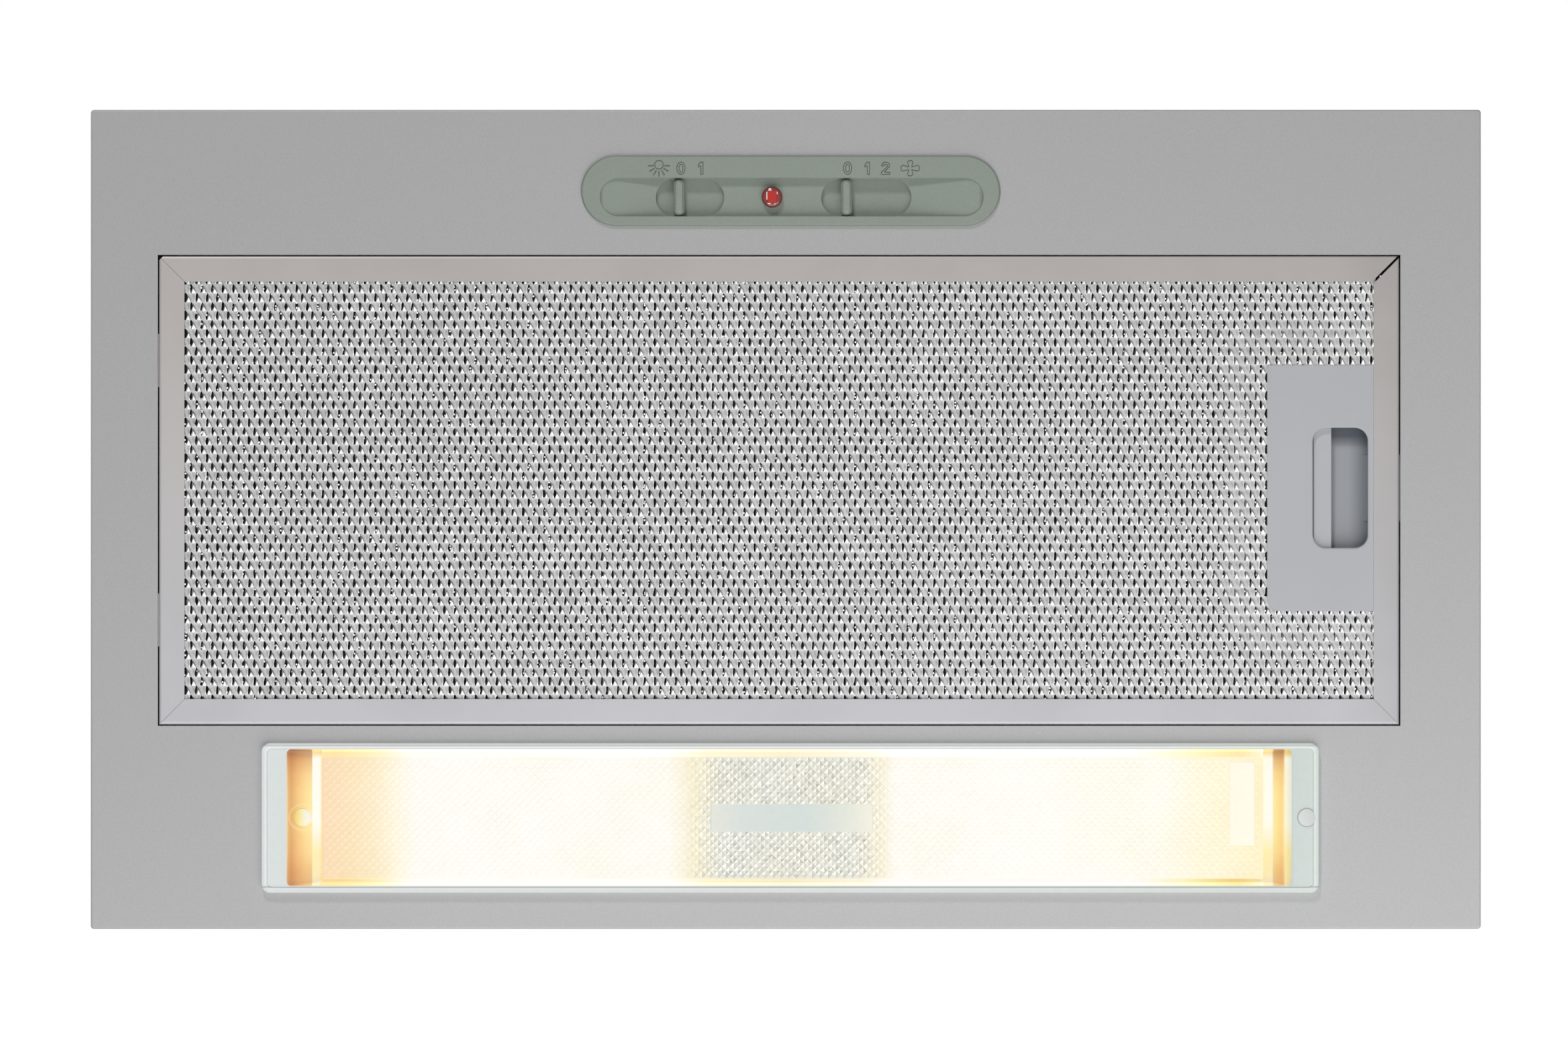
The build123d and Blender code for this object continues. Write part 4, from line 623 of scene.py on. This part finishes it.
# Lamp cover, measured in the photograph
COVER_X, COVER_Y, COVER_Z = node_box("lamp_cover")
BUTTONS_X, BUTTONS_Y, BUTTONS_Z = node_box("cover_buttons")
BUTTON_RADIUS = (BUTTONS_Y[1] - BUTTONS_Y[0]) / 2
LEFT_BUTTON = (BUTTONS_X[0] + BUTTON_RADIUS, (BUTTONS_Y[0] + BUTTONS_Y[1]) / 2)
RIGHT_BUTTON = (BUTTONS_X[1] - BUTTON_RADIUS, LEFT_BUTTON[1])
MOUTH_X, MOUTH_Y = columns(430, 1937.5), rows(1123, 1330)
WALL_X = columns(469, 1910)
PANEL_X, PANEL_Y = columns(481, 1896), rows(1136, 1319)
PLAQUES = (
    (columns(1065.7, 1309.8), rows(1206.6, 1248.8)),
    (columns(1844, 1883), rows(1143, 1269)),
)
Z_SKIRT = COVER_Z[1] - 5.5
Z_BEAD = COVER_Z[0]
Z_FLANGE = -10.0
Z_PANEL = -4.3
# The bead round the cover, as (inset, corner radius, height over its crest, painted light and shade)
BEAD = 2.3
BEAD_PROFILE = (
    (0.0, 3.2, 0.45, 0.78), (0.22, 3.0, 0.15, 1.0), (0.6, 2.7, 0.0, 1.08), (0.85, 2.5, 0.05, 0.96),
    (1.1, 2.3, 0.0, 1.12), (1.75, 1.8, 0.1, 1.12), (2.0, 1.7, 0.3, 0.86),
)
# The panel's prisms, each with the painted light and shade of its four faces, with some painted sparkle
PRISM_DIAGONAL = 2.97
PRISM_HEIGHT = 0.45
PRISM_SINK = 0.02
PRISM_PAINTED_LIGHTS = (0.86, 0.74, 0.98, 1.22)
PRISM_PAINTED_SPARKLE = 0.3
PRISM_STRAY = 0.6
# How far the prisms' painted light and shade shows over the lamps
FAINT_PAINTED_SHADE = scaled(WHITE, 0.02)
# The painted glow round the left button and its painted bright ring, as distances from its middle
GLOW_NEAR, GLOW_FAR = 3.4, 4.3
RING_RADIUS = 4.9
RING_CORE, RING_EDGE = 0.3, 0.5


def lit_plastic(name, paint, share, roughness=0.25, relief=None, **levels):
    """Clear plastic with lamps behind it, coloured by paint(finish) with their painted light, of which a
    share glows as painted glow. Where relief is a ramp, it says how far the painted light and shade of the
    faces shows."""
    finish = Finish(name, roughness=roughness, **levels)
    tone = finish.grey(finish.tone())
    haze = finish.grey(finish.span(finish.cloud(420, 3), 0.3, 0.7, 0.985, 1.015))
    plain = finish.tinted(paint(finish), haze)
    shade = finish.mix(relief(finish) if relief else 1.0, plain, finish.tinted(plain, tone))
    finish.set(Base_Color=finish.tinted(shade, scaled(WHITE, 1 - share)))
    finish.set(Emission_Color=shade, Emission_Strength=share)
    return finish.material


def from_left_button(finish):
    """The distance from the left button's middle."""
    across = finish.math("SUBTRACT", finish.axis("X"), LEFT_BUTTON[0] * MM)
    down = finish.math("SUBTRACT", finish.axis("Y"), LEFT_BUTTON[1] * MM)
    reach = finish.add("CombineXYZ", X=across, Y=down).outputs[0]
    return finish.add("VectorMath", operation="LENGTH", in0=reach).outputs["Value"]


def wall_painted_light(finish):
    """Painted light: amber ends with painted shade in their corners, a pale band beside each, pale long
    sides, and a painted glow round the left button.
    """
    left = along(finish, "X", [
        (428, screen(248, 243, 222)), (430, screen(246, 221, 159)), (433, screen(231, 180, 115)),
        (437, screen(224, 172, 106)), (446, screen(244, 198, 126)), (458, screen(254, 222, 149)),
        (467.3, screen(253, 233, 163)), (468.3, screen(255, 250, 236)), (478, screen(254, 250, 240)),
        (480.5, screen(254, 244, 206)), (484, screen(250, 222, 160)), (500, screen(251, 222, 155)),
    ])
    middle = along(finish, "X", [
        (500, screen(251, 222, 155)), (560, screen(252, 236, 182)), (620, screen(254, 250, 240)),
        (1000, screen(255, 251, 244)), (1060, screen(253, 241, 205)), (1180, screen(243, 234, 198)),
        (1300, screen(252, 244, 221)), (1340, screen(255, 250, 244)), (1700, screen(255, 250, 244)),
        (1800, screen(252, 241, 182)), (1860, screen(251, 224, 157)), (1890, screen(252, 238, 196)),
    ])
    right = along(finish, "X", [
        (1890, screen(252, 238, 196)), (1895, screen(254, 251, 228)), (1909, screen(255, 250, 239)),
        (1911, screen(253, 236, 164)), (1918, screen(254, 225, 144)), (1923, screen(252, 216, 140)),
        (1925.5, screen(250, 228, 162)), (1928, screen(255, 248, 212)), (1931, screen(246, 241, 214)),
        (1937.5, screen(228, 228, 218)),
    ])
    length = finish.mix(within(finish, "X", 500, 1890, 0.5), left_or_right(finish, left, right), middle)
    amber = finish.math("MAXIMUM", within(finish, "X", 400, 467.8), within(finish, "X", 1910, 1926.5, 3))
    ends = finish.math("MAXIMUM", within(finish, "X", 400, 482.5), within(finish, "X", 1895, 1960))
    amber_height = along(finish, "Y", [
        (1123, (0.42, 0.28, 0.26, 1)), (1129, (0.5, 0.35, 0.33, 1)), (1141, (0.8, 0.62, 0.6, 1)),
        (1162, (0.95, 0.86, 0.86, 1)), (1190, WHITE), (1245, WHITE), (1280, (0.97, 0.89, 0.87, 1)),
        (1310, (0.86, 0.68, 0.64, 1)), (1330, (0.76, 0.62, 0.66, 1)),
    ])
    pale_height = along(finish, "Y", [
        (1124, (0.88, 0.62, 0.26, 1)), (1131, (0.92, 0.72, 0.34, 1)), (1138, WHITE), (1235, WHITE),
        (1280, (1, 0.88, 0.5, 1)), (1312, (0.96, 0.84, 0.52, 1)), (1330, (0.86, 0.78, 0.62, 1)),
    ])
    near_left, near_right = within(finish, "X", 300, 560, 80), within(finish, "X", 1805, 2000, 70)
    near_ends = finish.math("MAXIMUM", near_left, near_right)
    thin_line = along(finish, "Y", [
        (1319, WHITE), (1320.2, (0.93, 0.83, 0.6, 1)), (1323, (0.93, 0.83, 0.6, 1)), (1324.5, WHITE),
    ])
    sides = finish.mix(near_ends, length, finish.tinted(length, thin_line))
    pale = finish.mix(ends, sides, finish.tinted(length, pale_height))
    deep = finish.tinted(length, amber_height)
    distance = from_left_button(finish)
    glow = finish.span(distance, GLOW_NEAR * MM, GLOW_FAR * MM, 0.45, 0.0)
    off_ring = finish.math("ABSOLUTE", finish.math("SUBTRACT", distance, RING_RADIUS * MM))
    ring = finish.span(off_ring, RING_CORE * MM, RING_EDGE * MM, 0.3, 0.0)
    lifted = finish.mix(finish.math("MAXIMUM", glow, ring), deep, screen(255, 236, 176))
    return finish.mix(amber, pale, lifted)


def hatching(finish, slope):
    """Fine lines at a slant, where the prisms' edges cross the panel: 1 on a line and 0 off it."""
    across = finish.math("MULTIPLY", finish.axis("X"), 1 / (PRISM_DIAGONAL / 2 * MM))
    down = finish.math("MULTIPLY", finish.axis("Y"), slope / (PRISM_DIAGONAL / 2 * MM))
    phase = finish.math("FRACT", finish.math("ADD", across, down))
    return finish.math("LESS_THAN", phase, 0.17)


def panel_painted_light(finish):
    """Painted light: white over each lamp, warm at both ends and grey in the middle, with painted shade
    lines along the prisms' edges.
    """
    length = along(finish, "X", [
        (481, screen(251, 222, 186)), (520, screen(252, 229, 192)), (565, screen(253, 238, 206)),
        (595, screen(255, 248, 228)), (625, screen(255, 252, 247)), (1000, screen(255, 252, 246)),
        (1040, screen(247, 240, 214)), (1085, screen(231, 231, 222)), (1285, screen(233, 232, 222)),
        (1322, screen(248, 242, 220)), (1345, screen(255, 252, 247)), (1740, screen(255, 252, 243)),
        (1800, screen(255, 248, 224)), (1896, screen(255, 243, 204)),
    ])
    warm = finish.span(finish.cloud(26, 3), 0.4, 0.66, 0.0, 0.5)
    patchy = finish.mix(warm, length, finish.tinted(length, screen(252, 248, 236)))
    faint = finish.math("MULTIPLY", hatching(finish, 1), 0.35)
    lines = finish.math("MAXIMUM", hatching(finish, -1), faint)
    shown = finish.math("MULTIPLY", lines, finish.span(finish.cloud(60, 3), 0.35, 0.6, 0.25, 1.0))
    return finish.mix(shown, patchy, finish.tinted(patchy, screen(248, 247, 243)))


def prism_painted_shade_share(finish):
    """The painted light and shade of the prisms' faces shows in full only between the lamps."""
    return along(finish, "X", [
        (481, FAINT_PAINTED_SHADE), (1020, FAINT_PAINTED_SHADE), (1075, WHITE), (1295, WHITE), (1340, FAINT_PAINTED_SHADE),
        (1896, FAINT_PAINTED_SHADE),
    ])


def plaque_colour_and_painted_light(finish):
    """The colour and painted light of the two bare plaques, one grey and one pale."""
    return along(finish, "X", [
        (1065, screen(226, 229, 219)), (1110, screen(216, 222, 217)), (1210, screen(211, 220, 216)),
        (1270, screen(226, 229, 217)), (1310, screen(242, 240, 224)), (1840, screen(254, 248, 228)),
        (1884, screen(254, 249, 230)),
    ])


def rim_colour_and_painted_light(finish):
    """Clear plastic over grey paint with painted light, bluer at the left, with thin dark lines along front
    and back.
    """
    length = along(finish, "X", [
        (392, screen(222, 226, 226)), (450, screen(220, 222, 222)), (1900, screen(214, 219, 215)),
        (1978, screen(216, 224, 219)),
    ])
    depth = along(finish, "Y", [
        (1116.5, WHITE), (1117.5, (0.7, 0.71, 0.72, 1)), (1118.6, (0.7, 0.71, 0.72, 1)), (1120, WHITE),
        (1329, WHITE), (1329.8, (0.56, 0.58, 0.57, 1)), (1330.8, (0.56, 0.58, 0.57, 1)), (1332, WHITE),
    ])
    return finish.tinted(length, depth)


def flange_colour_and_painted_light(finish):
    """The colour and painted light of the flat ends of the cover."""
    return along(finish, "X", [
        (392, screen(224, 230, 229)), (430, screen(224, 230, 228)), (1937, screen(208, 218, 213)),
        (1978, screen(211, 220, 216)),
    ])


def button_colour_and_painted_light(finish):
    """Painted glow on the left button; the right one is pale, darker towards its right as painted shade."""
    glowing = along(finish, "X", [
        (440, screen(246, 198, 118)), (445, screen(252, 222, 136)), (450, screen(255, 240, 164)),
        (459, screen(254, 250, 226)), (466, screen(255, 250, 236)),
    ])
    pale = along(finish, "X", [(1945, screen(224, 227, 226)), (1975, screen(208, 212, 211))])
    return left_or_right(finish, glowing, pale)


def button_edge_painted_light(finish):
    """Painted light on the buttons' edges: an amber painted glow on the left one and a dark painted shadow
    on the right one.
    """
    glowing = along(finish, "X", [
        (440, screen(234, 182, 114)), (452, screen(244, 202, 130)), (462, screen(254, 236, 180)),
        (468, screen(255, 246, 214)),
    ])
    return left_or_right(finish, glowing, screen(158, 165, 160))


def add_prisms(shell, chosen):
    """Four-sided prisms over the whole panel but the plaques, in rows half a diagonal aside."""
    half = PRISM_DIAGONAL / 2
    corner = {}

    def prism_point(column, row):
        key = (column, row)
        if key not in corner:
            corner[key] = len(shell.points)
            shell.points.append((PANEL_X[0] + column * half, PANEL_Y[0] + row * half, Z_PANEL - PRISM_SINK))
        return corner[key]

    for row in range(1, int((PANEL_Y[1] - PANEL_Y[0]) / half)):
        for column in range(1 + row % 2, int((PANEL_X[1] - PANEL_X[0]) / half), 2):
            middle_x, middle_y = PANEL_X[0] + column * half, PANEL_Y[0] + row * half
            if any(x[0] + half < middle_x < x[1] - half and y[0] + half < middle_y < y[1] - half
                   for x, y in PLAQUES):
                continue
            top = len(shell.points)
            knock = noise.noise_vector(Vector((middle_x * 1.7, middle_y * 1.3, 2.0)))
            shell.points.append((middle_x + PRISM_STRAY * knock.x, middle_y + PRISM_STRAY * knock.y,
                                 Z_PANEL - PRISM_HEIGHT))
            ring = [prism_point(column + across, row + down)
                    for across, down in ((1, 0), (0, 1), (-1, 0), (0, -1))]
            for start, tone in enumerate(PRISM_PAINTED_LIGHTS):
                # Each face gets a painted sparkle
                painted_sparkle = noise.noise(Vector((middle_x * 2.1, middle_y * 2.3, start)))
                shell.face((ring[start - 1], ring[start], top), chosen, tone + PRISM_PAINTED_SPARKLE * painted_sparkle)


def make_cover():
    """The cover, which glows with painted light: its bead, flange, walls and prism panel with two bare
    plaques.
    """
    rim, flange, wall, panel, plaque = range(5)
    # Every part of the cover glows with painted light from the lamps behind it
    skins = [
        lit_plastic("cover_bead", rim_colour_and_painted_light, 0.62), lit_plastic("cover_flange", flange_colour_and_painted_light, 0.62),
        lit_plastic("cover_wall", wall_painted_light, 0.92),
        lit_plastic("cover_panel", panel_painted_light, 0.92, relief=prism_painted_shade_share),
        lit_plastic("cover_plaque", plaque_colour_and_painted_light, 0.9),
    ]
    bead_x, bead_y = inset(COVER_X, BEAD), inset(COVER_Y, BEAD)
    # Loops from the skirt over the bead and down the walls: X, Y, corner radius, height, finish, painted
    # light and shade
    profile = [(COVER_X, COVER_Y, 3.2, Z_SKIRT, rim, 0.86)]
    profile += [(inset(COVER_X, by), inset(COVER_Y, by), radius, Z_BEAD + height, rim, tone)
                for by, radius, height, tone in BEAD_PROFILE]
    profile += [
        (bead_x, bead_y, 1.5, Z_FLANGE - 0.1, rim, 0.92),
        (inset(bead_x, 0.15), bead_y, 1.5, Z_FLANGE, flange, 1.0),
        (inset(MOUTH_X, -0.5), MOUTH_Y, 1.7, Z_FLANGE, flange, 1.0),
        (inset(MOUTH_X, 0.1), inset(MOUTH_Y, 0.3), 1.6, Z_FLANGE + 0.5, wall, 1.0),
        (WALL_X, inset(MOUTH_Y, 1.3), 1.4, Z_PANEL - 0.7, wall, 1.0),
        (inset(PANEL_X, 0.1), inset(PANEL_Y, 0.1), 0.8, Z_PANEL, panel, 1.0),
    ]
    shell = Shell()
    shell.bridge([rounded_loop(x, y, radius, z) for x, y, radius, z, _, _ in profile],
                 [chosen for *_, chosen, _ in profile], [tone for *_, tone in profile])
    add_prisms(shell, panel)
    for x, y in PLAQUES:
        loops = [rounded_loop(x, y, 0.6, Z_PANEL), rounded_loop(x, y, 0.6, Z_PANEL - 0.7),
                 rounded_loop(inset(x, 0.4), inset(y, 0.4), 0.5, Z_PANEL - 0.9)]
        # The plaques' sides carry painted shade
        shell.bridge(loops, plaque, (0.9, 0.94, 1.0))
    cover = shell.make("lit_lamp_cover", skins, "lamp_cover", "clear_cover", turned=True)
    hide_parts("lamp_cover")


# Domed cover button, as (share of its radius, height over its crest, finish)
BUTTON_PROFILE = (
    (1.0, 0.7, 0), (0.92, 0.5, 1), (0.86, 0.3, 1), (0.78, 0.18, 1), (0.6, 0.06, 1), (0.35, 0.0, 1),
    (0.1, 0.0, 1),
)


def make_buttons():
    """The two domed buttons that turn to free the cover."""
    shell = Shell()
    for middle in (LEFT_BUTTON, RIGHT_BUTTON):
        shell.dome(*middle, BUTTONS_Z, BUTTON_RADIUS, BUTTON_PROFILE)
    # Both buttons glow with painted light, and the right one's edge carries a painted shadow
    buttons = shell.make("domed_cover_buttons", [
        lit_plastic("button_edge", button_edge_painted_light, 0.7, 0.4, Specular_IOR_Level=0.2),
        lit_plastic("button_plastic", button_colour_and_painted_light, 0.7, 0.4, Specular_IOR_Level=0.2),
    ], "lamp_cover", "clear_cover", smooth=True, turned=True)
    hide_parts("cover_buttons")


# Indicator lens, as (share of its radius, height over the glints, finish)
LENS_PROFILE = (
    (1.0, 1.9, 0), (0.96, 1.2, 0), (0.86, 0.7, 1), (0.7, 0.4, 1), (0.4, 0.28, 1), (0.1, 0.26, 1),
)
# The lens's core, which glows as painted light, and its painted glints, as (left, right, front, back, height
# over the glints, finish)
LENS_BLOCKS = (
    (-1.5, 1.6, -2.3, 2.1, 0.12, 2), (-2.1, -1.8, -2.0, 1.0, 0.02, 3), (-1.4, -0.2, -2.75, -2.45, 0.02, 3),
    (-1.7, -0.5, 2.35, 2.65, 0.02, 3), (1.8, 2.05, -2.0, -1.0, 0.02, 3), (0.7, 1.3, 2.45, 2.7, 0.02, 3),
)
LENS_BLOCK_ROOT = 0.6


def make_lens():
    """The red indicator lens: a glossy dome with a square core that glows as painted light, and painted
    glints.
    """
    x, y, z = node_box("indicator_lens")
    middle_x, middle_y, radius = (x[0] + x[1]) / 2, (y[0] + y[1]) / 2, (x[1] - x[0]) / 2
    shell = Shell()
    shell.dome(middle_x, middle_y, z, radius, LENS_PROFILE)
    for left, right, front, back, up, chosen in LENS_BLOCKS:
        block_x, block_y = (middle_x + left, middle_x + right), (middle_y + front, middle_y + back)
        shell.bridge([rounded_loop(block_x, block_y, 0.1, z[0] + height, 3)
                      for height in (LENS_BLOCK_ROOT, up)], chosen)
    lens = shell.make("faceted_red_lens", [
        moulded("lens_rim", screen(112, 50, 42), 0.12, grain=500, depth=0.0, contrast=0.2, Coat_Weight=0.5),
        moulded("lens_body", screen(158, 34, 32), 0.1, grain=400, depth=0.0, contrast=0.25, Coat_Weight=0.8),
        # The core glows as painted light and the glints as painted highlights
        lit_glass("lens_core", screen(196, 50, 42), 0.12),
        lit_glass("lens_glint", screen(240, 226, 224), 0.5),
    ], "hood", "red_lens", turned=True)
    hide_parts("indicator_lens")


# Latch springs
SPRING_WIRE = 0.5
WIRE_SIDES = 8
SPRING_COILS = 6
COIL_STEPS = 16


def make_springs():
    """The latch's two coil springs, drawn at one length; the real ones shorten as the slider is drawn back.
    """
    x, y, z = node_box("latch_springs")
    middle_z = (z[0] + z[1]) / 2
    outer, wire = (z[1] - z[0]) / 2, SPRING_WIRE / 2
    steps = SPRING_COILS * COIL_STEPS
    shell = Shell()
    for middle_y in (y[0] + outer, y[1] - outer):
        loops = []
        for step in range(steps + 1):
            turn = 2 * math.pi * SPRING_COILS * step / steps
            reach = x[0] + wire + (x[1] - x[0] - SPRING_WIRE) * step / steps
            ring = [(reach + across, outer - wire + out)
                    for across, out, _ in circle(0, 0, wire, 0, WIRE_SIDES)]
            loops.append([(place, middle_y + radius * math.cos(turn), middle_z + radius * math.sin(turn))
                          for place, radius in ring])
        shell.face([len(shell.points) + side for side in reversed(range(WIRE_SIDES))])
        shell.bridge(loops, 0)
    springs = shell.make("latch_coil_springs", [finishes["spring_steel"]], "filter", "spring_steel",
                         smooth=True)
    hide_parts("latch_springs")
    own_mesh(springs)


# Housing: ribs, folded tabs and spot welds. A rib is (side, limits along it, limits up it).
RIBS = (
    ("front", (-190, 190), (44, 54)), ("front", (-190, 190), (104, 114)),
    ("back", (-190, 190), (44, 54)), ("back", (-190, 190), (104, 114)),
    ("left", (-105, 105), (100, 110)), ("right", (-105, 105), (100, 110)),
    ("top", (-222, -92), (-64, -54)), ("top", (-222, -92), (64, 74)), ("top", (92, 222), (-64, -54)),
)
# A rib's slope, as (inset, height)
RIB_PROFILE = ((0.0, 0.0), (0.9, 0.5), (2.2, 1.2), (3.4, 1.5))
TAB_WIDTH = 14.0
TAB_THICKNESS = 0.8
TAB_BELOW = 9
TAB_ABOVE = 2
TAB_ROUNDING = 0.2
WELDS = 5
WELD_RADIUS = 2.4
WELD_GAP = 29.0
FIRST_WELD = 24
# A weld's ring and hollow, as (share of its radius, height over the tab)
WELD_PROFILE = ((1.15, 0.0), (1.0, 0.16), (0.8, 0.1), (0.55, -0.05))


def on_side(side, loop):
    """Takes points (along, up, out) to a side of the housing."""
    x, y = node_box("housing_left_panel")[0][0], node_box("housing_front_panel")[1][0]
    top = node_box("housing_top_panel")[2][1]
    places = {
        "front": lambda u, v, out: (u, y - out, v), "back": lambda u, v, out: (-u, out - y, v),
        "left": lambda u, v, out: (x - out, -u, v), "right": lambda u, v, out: (out - x, u, v),
        "top": lambda u, v, out: (u, v, top + out),
    }
    return [places[side](*point) for point in loop]


def make_housing_detail():
    """The pressed ribs, the tabs of the end panels folded round the corners, and their spot welds."""
    shell = Shell()
    for side, wide, high in RIBS:
        width = high[1] - high[0]
        shell.bridge([on_side(side, rounded_loop(inset(wide, by), inset(high, by), width / 2 - by, out))
                      for by, out in RIB_PROFILE], 0)
    low, high = node_box("housing_front_panel")[2]
    half = node_box("housing_front_panel")[0][1]
    tall = (low + TAB_BELOW, high - TAB_ABOVE)
    for side in ("front", "back"):
        for end in (-1, 1):
            wide = sorted((end * half, end * (half - TAB_WIDTH)))
            shell.bridge([on_side(side, rounded_loop(inset(wide, by), inset(tall, by), 2.0 - by, out))
                          for by, out in ((0.0, 0.0), (0.0, TAB_THICKNESS - TAB_ROUNDING),
                                          (TAB_ROUNDING, TAB_THICKNESS))], 0)
            for step in range(WELDS):
                place = (end * (half - TAB_WIDTH / 2), low + FIRST_WELD + step * WELD_GAP)
                shell.bridge([on_side(side, circle(*place, WELD_RADIUS * share, TAB_THICKNESS + out, 14))
                              for share, out in WELD_PROFILE], 1)
    shell.make("housing_ribs_and_tabs", [finishes["galvanised_steel"], finishes["spring_steel"]], "hood",
               "galvanised_steel")


mesh_finish = expanded_aluminium()
make_filter_mesh("filter_mesh_front", "front_mesh", mesh_finish, outward=-1, overlap=3.5)
make_filter_mesh("filter_mesh_back", "back_mesh", mesh_finish, outward=1, overlap=0.0)
make_cover()
make_buttons()
make_lens()
make_springs()
make_housing_detail()

# Camera, where the photograph was taken from
CAMERA_DISTANCE = 3.0
CAMERA_REACH = 150.0
SENSOR_WIDTH = 36.0
scene = bpy.context.scene
camera_data = bpy.data.cameras.new("camera")
camera_data.sensor_fit = "HORIZONTAL"
camera_data.sensor_width = SENSOR_WIDTH
camera_data.lens = SENSOR_WIDTH * CAMERA_DISTANCE / (IMAGE_WIDTH / PIXELS_PER_MM * MM)
camera_data.clip_end = CAMERA_REACH
camera = bpy.data.objects.new("camera", camera_data)
scene.collection.objects.link(camera)
aim_x, aim_y = at_pixel(*IMAGE_CENTRE)
plate_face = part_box("face_plate")[0].z
camera.location = (aim_x * MM, aim_y * MM, plate_face - CAMERA_DISTANCE)
camera.rotation_euler = (math.pi, 0.0, 0.0)
scene.camera = camera
scene.view_settings.view_transform = "Standard"


def area_light(name, place, aim, size, power):
    """A soft square light that the camera doesn't see."""
    data = bpy.data.lights.new(name, "AREA")
    data.size = size
    data.energy = power
    light = bpy.data.objects.new(name, data)
    scene.collection.objects.link(light)
    light.location = place
    light.rotation_euler = (Vector(aim) - Vector(place)).to_track_quat("-Z", "Y").to_euler()
    light.visible_camera = False


area_light("key_light", place=(-0.5, -2.2, -1.6), aim=(0, 0, 0), size=0.35, power=22)
area_light("fill_light", place=(0.16, 0.66, -0.6), aim=(0.08, 0.22, 0), size=1.15, power=6.8)
area_light("top_light_left", place=(-1.6, -1.4, 2.2), aim=(0, 0, 0.1), size=2.6, power=60)
area_light("top_light_right", place=(1.9, 1.2, 1.8), aim=(0, 0, 0.1), size=2.6, power=45)

# Studio: the room gives a dim light, and the camera sees it as plain white
ROOM_LIGHT = 0.185
world = bpy.data.worlds.new("studio")
world.use_nodes = True
scene.world = world
world_nodes = world.node_tree.nodes
room = world_nodes["Background"]
room.inputs["Color"].default_value = WHITE
room.inputs["Strength"].default_value = ROOM_LIGHT
backdrop = world_nodes.new("ShaderNodeBackground")
backdrop.inputs["Color"].default_value = WHITE
seen = world_nodes.new("ShaderNodeLightPath")
chooser = world_nodes.new("ShaderNodeMixShader")
link = world.node_tree.links.new
link(seen.outputs["Is Camera Ray"], chooser.inputs[0])
link(room.outputs[0], chooser.inputs[1])
link(backdrop.outputs[0], chooser.inputs[2])
link(chooser.outputs[0], world_nodes["World Output"].inputs[0])

# Floor, far enough down to leave room for a camera that looks up
FLOOR_Z = -7.5
FLOOR_HALF = 60.0
FLOOR_GLOW = 0.42
floor_corners = [(x * FLOOR_HALF, y * FLOOR_HALF, FLOOR_Z) for x, y in ((-1, -1), (1, -1), (1, 1), (-1, 1))]
floor_mesh = bpy.data.meshes.new("floor")
floor_mesh.from_pydata(floor_corners, [], [(0, 1, 2, 3)])
floor_paint = Finish("floor_paint", roughness=0.8)
floor_shade = floor_paint.mix(floor_paint.cloud(2, 4), scaled(WHITE, 0.8), scaled(WHITE, 0.84))
floor_paint.set(Base_Color=floor_shade, Emission_Color=WHITE, Emission_Strength=FLOOR_GLOW)
floor_mesh.materials.append(floor_paint.material)
floor = bpy.data.objects.new("floor", floor_mesh)
scene.collection.objects.link(floor)
floor.visible_diffuse = False
